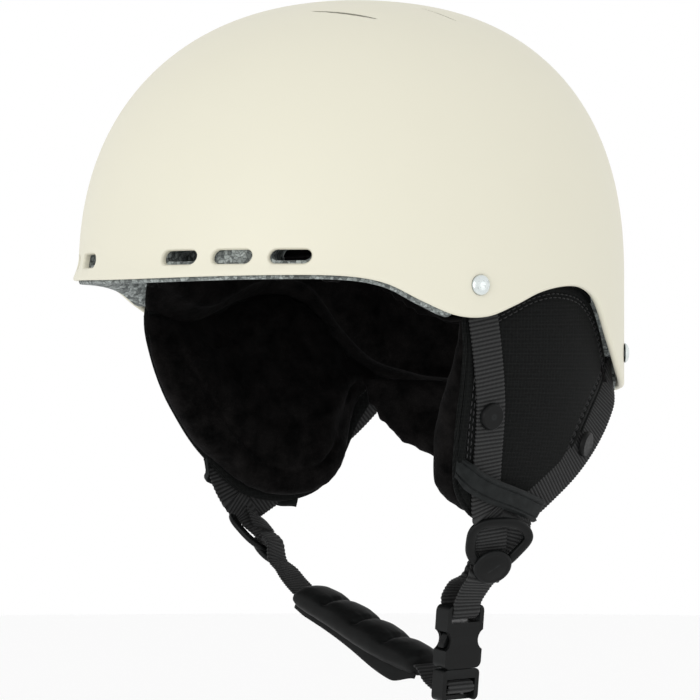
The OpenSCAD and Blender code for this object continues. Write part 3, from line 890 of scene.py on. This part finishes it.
def rear_scoops(points):
    """How deep the outer face is pressed in below each rear slit."""
    depth = np.zeros(len(points))
    for mirror in (1, -1):
        phi = mirror * REAR_VENT_ANGLE
        tangent = np.array([cos_d(phi), sin_d(phi), 0.0])
        u = points @ tangent * mirror
        v = points[:, 2] - REAR_VENT_Z
        centre = -3 + 8 * (1 - (u / 20) ** 2) / 2
        facing_out = points @ outward(phi) > 0
        below = v - centre
        width = np.where(below < 0, 7.0, 2.2)
        fade = ease((u + 24) / 9) * ease((24 - u) / 9)
        depth = np.maximum(depth, 1.8 * bell(below, width) * fade * facing_out)
    return depth


def slit_cuts(side, crown_half, crown_depths, rear_half, rear_depths):
    """Cutters for the crown slits and the rear slit of one side."""
    cuts = [crown_cut(line, crown_half, side, crown_depths) for line in CROWN_SLITS]
    return [*cuts, side_cut(side * REAR_VENT_ANGLE, REAR_VENT_Z,
                            lambda grow: leaf(REAR_SLIT, rear_half, grow), rear_depths)]


def make_shell(paint):
    phi = np.arange(0, 360, 1.0)
    rows = 110
    t = np.linspace(1, 0, rows + 1)[1:, None]
    lip = SHELL_T / 2
    outer = flared(phi[None], height_steps(phi[None], t, 0, lip), 0)
    shape = outer.shape
    flat = outer.reshape(-1, 3)
    inward = unit(np.stack([-flat[:, 0], -flat[:, 1], -flat[:, 2] * 0.9 - 1], 1))
    flat = flat + inward * (crown_scoops(flat) + rear_scoops(flat))[:, None]
    outer = flat.reshape(shape)
    roll = np.radians(np.arange(15, 180, 15))[:, None]
    edge_inset = lip - lip * np.cos(roll)
    edge = flared(phi[None], rim_z(phi)[None] + lip - lip * np.sin(roll), edge_inset)
    inner = flared(phi[None], height_steps(phi[None], t[::-1], SHELL_T, lip), SHELL_T)
    points, faces = skin(np.concatenate([outer, edge, inner]), form(0, CROWN_H, 0.0),
                         form(0, CROWN_H - SHELL_T, SHELL_T))
    shell = make_piece("shell_skin", points, faces, paint)
    cutters = []
    for side in (1, -1):
        for angle in VENT_ANGLES:
            cutters.append(side_cut(side * angle, VENT_Z, lambda grow: pill(VENT_SIZE, side * 0.5, grow),
                                    (*SOFT_EDGE, (0, -30))))
        cutters += slit_cuts(side, 1.35, UNDERCUT, 1.7, ((1.0, 6), (0.5, -1.2), (0, -2.2), (0, -30)))
    carve(shell, cutters)
    attach(shell, "helmet", "shell")


def foam_lift(phi, over_ears=9.0):
    """The liner's edge shows below the shell, except over the ear pads."""
    start = np.where(phi < 180, 70, 62)
    ear = ease((from_front(phi) - start) / 6) * ease((150 - from_front(phi)) / 8)
    return mix(-1.6, over_ears, ear)


def make_liner(foam):
    phi = np.arange(0, 360, 1.5)
    t = np.linspace(1, 0, 41)[1:, None]
    lift = foam_lift(phi)[None]
    outer = flared(phi[None], height_steps(phi[None], t, FOAM_INSET, lift + 1), FOAM_INSET)
    face = np.linspace(0, 1, 12)[:, None]
    inset = mix(FOAM_INSET + 0.6, CAVITY_INSET - 1, face)
    rise = lift + 8.6 * ease((face - 0.2) / 0.8)
    under = flared(phi[None], rim_z(phi)[None] + rise, inset)
    inner = flared(phi[None], height_steps(phi[None], t[::-1], CAVITY_INSET, lift + 9.4), CAVITY_INSET)
    points, faces = skin(np.concatenate([outer, under, inner]), form(0, CROWN_H - FOAM_INSET, FOAM_INSET),
                         form(0, CROWN_H - CAVITY_INSET, CAVITY_INSET))
    liner = make_piece("bead_foam_liner", points, faces, foam)
    cutters = []
    for side in (1, -1):
        for angle in (VENT_ANGLES[0], VENT_ANGLES[2]):
            cutters.append(side_cut(side * angle, VENT_Z + 1.2,
                                    lambda grow: pill((17, 5.6), side * 0.5, grow), ((0, 9), (0, -40))))
        cutters += slit_cuts(side, 4.0, ((0, 8), (0, -38)), 4.0, ((0, 8), (0, -40)))
        for spot in RIVET_SPOTS.values():
            cutters.append(side_cut(side * spot[0], spot[1] - 9, lambda grow: pill((27, 27), 0, grow),
                                    ((0, 9), (0, -13.5))))
    carve(liner, cutters)
    attach(liner, "helmet", "foam_liner")


# --- pads -----------------------------------------------------------------------------

def liner_face(phi, q, off):
    """Point on the liner: q runs from inside the shell's edge (0) over the inner edge to the wall (1)."""
    lift = foam_lift(phi, 0.0)
    face = mix(0.22, 1.0, clamp01(2 * q))
    under = rim_z(phi) + lift + 8.6 * ease((face - 0.2) / 0.8) - off * (1 - clamp01(2 * q - 1))
    up = clamp01(2 * q - 1)
    z = mix(under, 30.0, up)
    inset = mix(FOAM_INSET + 0.6, CAVITY_INSET - 1, face) + ease(up / 0.12) + off * ease((q - 0.3) / 0.25)
    return flared(phi, z, inset)


def make_lining(fleece):
    """Brushed lining over the liner's inner wall and, behind the brow, its lower face."""
    phi = np.arange(0, 360, 1.5)
    start, span = np.where(phi < 180, 52, 48), np.where(phi < 180, 22, 17)
    first = mix(0.56, 0.0, ease((from_front(phi) - start) / span))
    ripple = 0.012 * (sin_d(11 * phi) + sin_d(17 * phi + 40))
    q = np.linspace(0, 1, 26)[:, None]
    q = mix(first + ripple * (1 - q), 1.0, q)
    rings = np.concatenate([liner_face(phi, q, 1.2), liner_face(phi, q[::-1], -0.4)])
    lining = make_piece("brushed_lining", *loop_skin(rings), fleece)
    attach(lining, "helmet")
    edge = piping("lining_edge", liner_face(phi, q[0], 0.5), 1.1, fleece)
    attach(edge, "helmet")


def band_section(phi, t, low, high, inset, thickness, lean):
    """Ring around a band pad at one angle; lean sets its top further in."""
    full = (1 - abs(2 * t - 1) ** 6) ** 0.5
    tall, deep = rounded(24, 0.7)
    z = (low + high) / 2 + (high - low) / 2 * full * tall
    depth = inset + thickness / 2 * (1 + full * deep)
    return form(phi, z, depth + lean * ease((z - high + 18) / 16))


def band_pad(name, node, start, end, low, high, inset, thickness, material, seams, cap=3.0,
             lean=0.0):
    """Comfort pad that runs around the head from one angle to another; seams are angles of sewn channels."""
    t = np.linspace(0.004, 0.996, 60)
    phi = mix(start, end, t)
    slim = 0.94                   # room for the swelling
    middle, half = (low(phi) + high(phi)) / 2, (high(phi) - low(phi)) / 2 * slim
    rings = [band_section(p, u, m - h, m + h, inset + thickness * 0.08, thickness * 0.84, lean)
             for p, u, m, h in zip(phi, t, middle, half)]
    pad = make_piece(name, *skin(rings), material)
    swell(pad, 4.0, cap)
    sew(pad, [form(angle, np.linspace(low(angle) - 4, high(angle) + 4, 60), inset + thickness)
              for angle in seams])
    attach(pad, "helmet", node)


def sew(piece, lines, depth=1.5, width=1.4, pucker=3.5):
    """Presses sewn channels into a pad along lines, with small puckers beside them."""
    points, normals = points_of(piece), normals_of(piece)
    press = np.zeros(len(points))
    for line in lines:
        s, line = resample(0.6, np.asarray(line, float))
        far = distance_to(points, line)
        near = np.argmin(((points[:, None, :] - line[None, ::4, :]) ** 2).sum(-1), 1) * 4
        gather = 1 + 0.35 * np.sin(2 * np.pi * s[np.minimum(near, len(s) - 1)] / pucker)
        press = np.maximum(press, depth * bell(far, width) + 0.35 * gather * bell(far, 3 * width))
    set_points(piece, points - normals * press[:, None])


def make_inner_pads(fleece):
    brow_low = lambda phi: mix(5, -8, ease(np.abs(phi) / 50))
    brow_high = lambda phi: 33 - 8 * (phi / 64) ** 2
    band_pad("brow_pad_soft", "brow_pad", -64, 64, brow_low, brow_high, CAVITY_INSET + 0.5, 7, fleece,
             (-38, 0, 38))
    rear_low = lambda phi: -28 + 24 * np.abs((phi - 180) / 50) ** 2.4
    rear_high = lambda phi: 36 - 8 * ((phi - 180) / 50) ** 2
    band_pad("rear_pad_soft", "rear_pad", 130, 230, rear_low, rear_high, CAVITY_INSET + 0.5, 7, fleece,
             (152, 180, 208))
    nape_low = lambda phi: -96 + 23 * np.abs((phi - 180) / 46) ** 2.8
    nape_high = lambda phi: rim_z(phi) + 8
    band_pad("nape_pad_soft", "nape_pad", 131, 229, nape_low, nape_high, 19, 11, fleece, (),
             lean=6.5)
    for node in ("side_pad_left", "side_pad_right", "crown_pad"):
        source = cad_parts[node].data.copy()
        pad = add_object(node + "_soft", source)
        pad.data.materials.clear()
        pad.data.materials.append(fleece)
        apply_modifier(pad, "WELD", merge_threshold=WELD_GAP)
        set_points(pad, mix(points_of(pad).mean(0), points_of(pad), 0.95))
        swell(pad, 4.0, 2.5)
        low, high = node_box(node)
        middle = (low + high) / 2
        if node == "crown_pad":
            margin, seams = 8, [(x, low[2]) for x in (-14, 0, 14)]
        else:
            inner = low[0] if middle[0] > 0 else high[0]
            margin, seams = 6, [(inner, middle[2] + drop) for drop in (-6, 6)]
        along = np.linspace(low[1] + margin, high[1] - margin, 40)
        sew(pad, [np.column_stack([np.full(40, x), along, np.full(40, z)]) for x, z in seams], 1.3, 2.0)
        attach(pad, "helmet", node)


EAR_T = 20.0
SEAM_INSETS = (5.5, 7.2)
EAR_BOTTOM = -110.0
EAR_FRONT = {"left": 28.0, "right": 51.0}
EAR_CENTRE = np.array([14.0, -58.0])
KEEPER_ROUTE = ((-24.5, -85), (-17, -90.5), (-5, -95.5), (12, -100.5), (28, -105.5), (35.5, -108.3))
FRONT_ROUTE = ((-22, 4), (-19, -14), (-15, -36), (-11, -58), (-8.5, -80), (-5, -98), (-2, -106))
REAR_ROUTE = ((98, -27), (93, -39), (85, -51), (71, -67), (52, -83), (34, -95), (22, -103))


# Size of each ring of a pad, from its outer to its inner face, and its share of the pad's depth
PAD_RINGS = ((0.35, 0.07), (0.7, 0.07), (0.93, 0.07), (0.985, 0.2), (1, 0.45), (0.97, 0.72), (0.88, 0.88),
             (0.6, 0.95), (0.3, 0.95))


def ear_depth(z):
    return 8 + (EAR_T - 8) * ease((-z - 14) / 55)


def under_rim(y):
    y = float(y)
    angle = np.degrees(np.arctan2(side_point(y, 0, 8)[0], -y))
    return (y, float(rim_z(angle)) - 1.2 - 0.03 * abs(y))


def ear_outline(which, n):
    """Outline of an ear pad in the side view, as fore and aft place and height."""
    front = EAR_FRONT[which]
    if which == "left":
        edge = [(2, EAR_BOTTOM), (-13, -105), (4 - front, -92), (-front, -68), (-front, -42),
                under_rim(1 - front)]
        low = [(75, -51), (69, -60), (61, -71), (52, -88), (38, -104), (20, EAR_BOTTOM)]
    else:
        edge = [(4, -104), (-10, -94), (-24, -80), (16 - front, -64), (4 - front, -44), (-front, -28),
                under_rim(3 - front)]
        low = [(80, -52), (76, -61), (69, -72), (60, -88), (45, -103), (24, -108)]
    top = [under_rim(y) for y in (edge[-1][0] + 10, -6, 12, 30, 46, 60, 69, 75)]
    return closed_spline(edge + top + low, n)


def inwards(outline, distance):
    """Outline moved inwards by a distance, for a smooth closed outline."""
    d = unit(np.roll(outline, -1, 0) - np.roll(outline, 1, 0))
    normal = np.stack([-d[:, 1], d[:, 0]], 1)
    toward = np.sign(((EAR_CENTRE - outline) * normal).sum(1).mean())
    return outline + toward * normal * distance


def tucked(outline, rise, back):
    """Outline whose top edge runs on behind the shell's edge: upwards, and backwards at the rear."""
    rear = ease((outline[:, :1] - 34) / 26)
    way = mix(np.array([0.0, rise]), np.array([0.85, 0.5]) * back, rear)
    return outline + way * ease((outline[:, 1:] + 60) / mix(22, 13, rear))


def pad_depth_at(y, z):
    return ear_depth(z) * (1 - 0.6 * ease((y - 46) / 30))


def on_pad(flat, share):
    """Point of an ear pad at a place in the side view: share runs from its outer (0) to inner face (1)."""
    y, z = flat[..., 0], flat[..., 1]
    return side_point(y, z, pad_face(z) + share * pad_depth_at(y, z))


def make_ear_pad(which, fleece, cloth, thread):
    side = SIDES[which]
    body = which + "_ear_pad"
    node = "ear_pad_" + which
    outline = ear_outline(which, 6)
    small = tucked(inwards(outline, 1.8), 6.5, 9.0)
    small[:, 0] -= 4.0 * ease((EAR_CENTRE[0] - 24 - small[:, 0]) / 12)
    rings = [on_pad(mix(EAR_CENTRE, small, scale), share) for scale, share in PAD_RINGS]
    ends = [on_pad(EAR_CENTRE, PAD_RINGS[i][1]) for i in (0, -1)]
    pad = make_piece(node + "_fleece", *skin(rings, *ends), fleece, side)

    def stay_inside(points):
        """The straps press the outer face flat."""
        out = np.array(points)
        limit = side_point(out[:, 1], out[:, 2], pad_face(out[:, 2]) + 0.4)[:, 0]
        out[:, 0] = side * np.minimum(out[:, 0] * side, limit)
        return out

    swell(pad, 4.0, 4.5, hold=stay_inside)
    apply_modifier(pad, "SUBSURF", levels=1)
    border = inwards(outline, 15)
    sew(pad, [on_pad(border, 1.0) * [side, 1, 1]], depth=2.0, width=1.5)
    attach(pad, body, node)

    # Outer woven panel, sewn down along its edge
    rim = tucked(inwards(outline, 0.8), 5.0, 12.0)
    rim[:, 0] += 1.5 * ease((EAR_CENTRE[0] - 18 - rim[:, 0]) / 12) * ease((-14 - rim[:, 1]) / 20)
    scale = np.concatenate([[0.06, 0.2, 0.4], np.linspace(0.5, 1, 60)])
    flat = np.array([mix(EAR_CENTRE, rim, s) for s in scale])
    edge_gap = distance_to(flat.reshape(-1, 2), rim).reshape(flat.shape[:2])
    first, second = SEAM_INSETS
    groove = 0.75 * bell(edge_gap - first, 0.8) + 0.5 * bell(edge_gap - second, 0.7)
    drop = 1.8 * bell(edge_gap, 0.9)
    lift = 0.45 * ease(edge_gap / 4) - groove - drop
    face = side_point(flat[..., 0], flat[..., 1], pad_face(flat[..., 1]) - lift)
    back = side_point(flat[..., 0], flat[..., 1], pad_face(flat[..., 1]) + 2.6)
    points, faces = skin(np.concatenate([face, back[::-6]]))
    panel = make_piece(node + "_panel", points, faces, cloth, side)
    attach(panel, body)
    for number, inset in enumerate(SEAM_INSETS):
        line = inwards(rim, inset)
        line = np.concatenate([line, line[:1]])
        path = side_point(line[:, 0], line[:, 1], pad_face(line[:, 1]) - 0.05)
        away = side_normal(line[:, 0], line[:, 1])
        seam = stitches(f"{node}_stitches_{number + 1}", path, away, thread, side)
        attach(seam, body)
    welt = piping(node + "_piping", on_pad(rim, 0.05), 1.0, cloth, side)
    attach(welt, body)


# --- straps ---------------------------------------------------------------------------

def side_path(route):
    flat = open_spline(route, 10)
    return side_point(flat[:, 0], flat[:, 1], strap_inset(flat[:, 1]))


DIVIDERS = {
    "left": (np.array([86.5, CHIN_Y, -119.5]), np.array([0.80, -0.30, -0.52])),
    "right": (np.array([86.5, CHIN_Y + 2, -121.5]), np.array([0.66, -0.30, -0.69])),
}


def divider_axes(which):
    """The divider's place, and its directions across, up and outwards."""
    place, face = DIVIDERS[which]
    n = unit(face)
    v = unit(np.array([0, 0, 1.0]) - n * n[2])
    return place, np.cross(v, n), v, n


def at_divider(which, spots):
    place, u, v, n = divider_axes(which)
    return np.array([place + u * a + v * b + n * c for a, b, c in spots])


REAR_TAILS = {
    "left": ((8.6, 12.5, -2.6), (8.2, 4, -2.4), (6.4, -3, -2.6), (4.6, -7, -2.8)),
    "right": ((6.5, 12.5, -2.0), (3.6, 5, -1.8), (1.2, -1, -1.8)),
}


def make_side_straps(web):
    for which, side in SIDES.items():
        u = divider_axes(which)[1]
        for name, route, tail in (
            ("strap_front_", FRONT_ROUTE, ((-3.5, 11, -1.4), (-2.4, 3.5, -0.2), (-1.6, -5, -0.4))),
            ("strap_rear_", REAR_ROUTE, REAR_TAILS[which]),
        ):
            upper = side_path(route)
            face = side_normal(upper[:, 1], upper[:, 2])
            if name == "strap_rear_":
                face = unit(mix(face, np.array([0.97, -0.15, -0.1]), ease((-36 - upper[:, 2:]) / 20)))
            lower = at_divider(which, tail)
            joined = np.concatenate([upper[:-1], open_spline(np.concatenate([upper[-1:], lower]), 8)[1:]])
            away = unit(np.cross(headings(upper), face))
            twist = ease(np.linspace(0, 1, len(joined) - len(away) + 1))[1:, None]
            turned = np.array([u * np.sign(away[-1] @ u)]) * twist + away[-1:] * (1 - twist)
            if name == "strap_rear_":
                down = headings(joined)[len(away):]
                turned = unit(turned - down * (turned * down).sum(1, keepdims=True))
            across = np.concatenate([away, unit(turned)])
            piece = webbing(name + which + "_web", joined, across, web, side)
            attach(piece, "helmet", name + which)


BUCKLE_TOP = np.array([64, CHIN_Y, -149.5])
BUCKLE_LEAN = 5.8
PLUG_END = -43


def buckle_xz(through_it, up):
    """Place in the chin strap's plane of a point of the buckle, so far through it and up it."""
    return (BUCKLE_TOP[0] + through_it * cos_d(BUCKLE_LEAN) + up * sin_d(BUCKLE_LEAN), CHIN_Y,
            BUCKLE_TOP[2] - through_it * sin_d(BUCKLE_LEAN) + up * cos_d(BUCKLE_LEAN))


CHIN_ROUTE = ((-46, -151), (-26, -157), (-4, -164.5), (19, -172), (41, -178))


def join_chin(piece):
    """Bakes a lower strap's placement into its mesh."""
    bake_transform(piece)


def turned_across(path, first, last):
    share = ease(run_length(path) / run_length(path)[-1])[:, None]
    return unit(np.array(first) * (1 - share) + np.array(last) * share)


# Webbing round the plug's ladder bars, as places through the plug and above its end
LADDER_LOOP = ((-5.8, 9.2), (-3, 8.9), (-0.4, 8.7), (1.9, 8.6), (3.6, 7.6), (4.2, 6.1), (3.5, 4.6),
               (1.6, 3.9), (-0.4, 3.7), (-3, 3.7), (-5.2, 3.7))


def make_chin_straps(web):
    flat = np.array([0, 1.0, 0])
    u = divider_axes("left")[1]
    outer = open_spline([*at_divider("left", ((0, -7, -1.3), (0, -13, -1.3))), (78.9, CHIN_Y, -135.5),
                         (74, CHIN_Y, -140.5), buckle_xz(4.6, 2.6), buckle_xz(4.1, -2.4),
                         buckle_xz(1.5, -5.2)], 8)
    inner = open_spline([*at_divider("left", ((0, -7, -3.2), (0, -12, -3.6))), (74.4, CHIN_Y, -134.6),
                         (66, CHIN_Y, -138.2), (60.5, CHIN_Y, -144), buckle_xz(-4.3, 2),
                         buckle_xz(-3.9, -2.4), buckle_xz(-1.5, -5.2)], 8)
    top = at_divider("right", ((0, -4, -1.4), (0, -10, -2.2))) * [-1, 1, 1]
    far_u = divider_axes("right")[1] * [-1, 1, 1]
    far = open_spline([*top, (-74, 12, -136), (-67, 12, -140.5), (-58, 10, -145.5), (-46, 8, -151),
                       (-38, 8, -153.6)], 8)
    for node, path, first, bend_x in (("lower_strap_left", outer, u, 80), ("lower_loop_left", inner, u, 78),
                                      ("lower_strap_right", far, far_u, -78)):
        piece = webbing(node + "_web", path, turned_across(path, first, flat), web)
        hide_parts(node)
        join_chin(piece)

    end = open_spline([(34, CHIN_Y, -176.2), (42, CHIN_Y, -178.6), (47, CHIN_Y, -184),
                       buckle_xz(-6.2, PLUG_END + 3.8), buckle_xz(-4.6, PLUG_END + 2.6)], 8)
    piece = webbing("chin_web_ribbed", end, np.tile(flat, (len(end), 1)), web)
    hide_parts("chin_web")
    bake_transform(piece)
    loop = open_spline([buckle_xz(a, PLUG_END + b) for a, b in LADDER_LOOP], 5)
    piece = webbing("ladder_web_ribbed", loop, np.tile(flat, (len(loop), 1)), web, width=WEB_W - 0.4,
                    thickness=1.3)
    attach(piece, "buckle_half", "ladder_web")


def keeper_rings(route):
    """Moulded band along a route in the side view, with lines by its edges; its ends sink into the pad."""
    flat = open_spline(route, 14)
    path = side_point(flat[:, 0], flat[:, 1], strap_inset(flat[:, 1]) - 3.4)
    s, path = resample(0.8, path)
    down = unit(side_normal(path[:, 1], path[:, 2]))
    end = ease(s / 7) * ease((s[-1] - s) / 8)
    path = path - down * (5.5 * (1 - end))[:, None]
    heading = headings(path)
    normal = unit(down - heading * (down * heading).sum(1, keepdims=True))
    across = np.cross(heading, normal)
    upright = unit(np.array([0, 0, -1.0]) + normal * normal[:, 2:])
    across = unit(mix(upright, across, ease(s / 9)[:, None]))
    u = np.linspace(-1, 1, 33)
    lines = 0.5 * bell(np.abs(u) - 0.74, 0.09) - 0.4 * bell(np.abs(u) - 0.58, 0.05)
    under = -0.9 * (1 - np.abs(u) ** 8) ** 0.5
    top = lines - under
    section = np.concatenate([np.stack([u * 5.6, top], 1), np.stack([u * 5.6, under], 1)[-2:0:-1]])
    return path[:, None] + across[:, None] * section[None, :, :1] + normal[:, None] * section[None, :, 1:]


def make_keepers(rubber):
    for which, side, route in (("left", 1, KEEPER_ROUTE), ("right", -1, KEEPER_ROUTE[1:])):
        keeper = make_piece(f"keeper_{which}_rubber", *skin(keeper_rings(route)), rubber, side, sharp=50)
        attach(keeper, "helmet", "keeper_" + which)


def make_chin_pad(satin):
    """Padded sleeve on the chin strap: a gathered roll with its seam allowance hanging below."""
    path = open_spline([(x, CHIN_Y, z) for x, z in CHIN_ROUTE], 16)
    s, path = resample(0.8, path)
    share = s / s[-1]
    heading = headings(path)
    over = unit(np.cross([0, 1, 0], heading))
    over *= np.sign(over[:, 2])[:, None]
    a = np.arange(64) * 2 * np.pi / 64
    wide, tall = rounded(64, 0.92)
    rings = []
    for p, up, t in zip(path, over, share):
        end = 0.80 + 0.20 * sin_d(180 * t) ** 0.35
        scallop = abs(math.sin(4 * math.pi * t)) ** 0.45
        back = np.clip(np.cos(a - 1.1), 0, 1) ** 2
        flank = np.clip(np.cos(a + 2.3), 0, 1) ** 2
        r = 0.93 + back * (0.20 * scallop - 0.13) + 0.02 * flank * math.sin(11 * t + 1)
        rings.append(p + end * 14 * (r * wide)[:, None] * [0, 1, 0] + end * 7.6 * (r * tall)[:, None] * up)
    pad = make_piece("chin_pad_sleeve", *skin(rings), satin)
    swell(pad, 3.0, 1.6, pressure=3.0)
    apply_modifier(pad, "SUBSURF", levels=1)
    a = np.radians(np.linspace(-15, 130, 50))[:, None]
    gathers = [path[i] + 14 * np.cos(a) * [0, 1, 0] + 8 * np.sin(a) * over[i]
               for i in (len(path) * np.array([0.25, 0.5, 0.75])).astype(int)]
    sew(pad, gathers, depth=1.9, width=1.7)
    attach(pad, "chin_loop", "chin_pad")
    make_chin_hem(path, over, share, satin)


def make_chin_hem(path, over, share, satin):
    """Seam allowance below the roll."""
    front = np.array([0, -1, 0.0])
    flap = []
    for p, up, t in zip(path, over, share):
        wave = 0.7 * math.sin(9 * t + 0.6)
        root = p + front * 6.0 - up * 3.8
        reach = 2.6 + mix(1.0, 5.4, ease(t / 0.9)) * ease((t + 0.02) / 0.12) * ease((1.01 - t) / 0.17)
        tip = root + unit(-up * 1.0 + front * (0.22 + 0.1 * wave)) * (reach + 0.5 * wave)
        thin = unit(np.cross(tip - root, np.cross(up, front))) * 0.4
        k = np.linspace(0, 1, 9)[:, None]
        arc = mix(root, tip, k) + thin * (1.4 * wave * k * (1 - k))
        half = thin * np.sqrt(1 - 0.9 * k**4)
        flap.append(np.concatenate([arc + half, (arc - half)[::-1]]))
    hem = make_piece("chin_pad_hem", *skin(flap), satin)
    attach(hem, "chin_loop")


# --- hardware -------------------------------------------------------------------------

RING_LINE = ((-6.5, -9.5), (-11.2, -4), (-12.6, 3), (-12.2, 8.4), (-8.6, 11.6), (-1, 12.6), (7, 11.8),
             (12.4, 8.4), (14.8, 3.2), (11.4, -3.4), (6.5, -9.5), (0, -12))
# Radius and height of the cap's outline, from its rim to its middle
CAP_PROFILE = ((0.02, -1.6), (6.5, -1.6), (8.2, -1.3), (8.9, -0.6), (9.0, 0.2), (8.85, 0.8), (8.4, 1.25),
               (7.6, 1.5), (7.0, 1.42), (6.2, 1.5), (4, 1.85), (2, 2.0), (0.02, 2.05))


def make_divider(which, plastic):
    """Moulded ring that the straps pass through, with its round cap."""
    side = SIDES[which]
    place, u, v, n = divider_axes(which)
    line = closed_spline(RING_LINE, 8)
    away = unit(line - line.mean(0))
    d = unit(np.roll(line, -1, 0) - np.roll(line, 1, 0))
    across = np.stack([d[:, 1], -d[:, 0]], 1)
    across *= np.sign((across * away).sum(1))[:, None]
    wide, thick = rounded(20, 0.75)
    flat = line[:, None] + across[:, None] * 2.3 * wide[None, :, None]
    rings = place + flat[..., :1] * u + flat[..., 1:] * v + (2.2 + 1.55 * thick)[None, :, None] * n
    ring = make_piece(f"divider_{which}_ring", *loop_skin(rings), plastic, side)
    attach(ring, "helmet", "divider_" + which)
    middle = place - 10.5 * v + 3.7 * n
    rings = [circle(middle + n * h, u, v, r, 72) for r, h in CAP_PROFILE]
    cap = make_piece(f"divider_{which}_cap", *skin(rings), plastic, side)
    attach(cap, "helmet", "divider_button_" + which)


def make_hardware(plastic, rubber, steel):
    for side in SIDES:
        for end in RIVET_SPOTS:
            finish_node(f"rivet_{end}_{side}", steel)
            finish_node(f"washer_{end}_{side}", steel)
            finish_node(f"snap_{end}_{side}", plastic)
        make_divider(side, plastic)
    for node, bevel in (("buckle_socket", 0.9), ("buckle_plug", 0.7), ("prong_front", 0.5),
                        ("prong_rear", 0.5), ("goggle_base", 0.3)):
        finish_node(node, plastic, bevel=bevel)
    finish_node("goggle_strap", rubber, bevel=0.5)
    finish_node("goggle_stud", steel, bevel=0.3)


make_camera()
make_studio()
paint, foam, fleece = shell_paint(), bead_foam(), plush()
cloth, web, satin, thread = woven_panel(), ribbed_webbing(), satin_cloth(), sewing_thread()
plastic, rubber, steel = moulded_plastic(), keeper_rubber(), rivet_steel()
make_shell(paint)
make_liner(foam)
make_lining(fleece)
make_inner_pads(fleece)
for which in SIDES:
    make_ear_pad(which, fleece, cloth, thread)
make_side_straps(web)
make_chin_straps(web)
make_keepers(rubber)
make_chin_pad(satin)
make_hardware(plastic, rubber, steel)
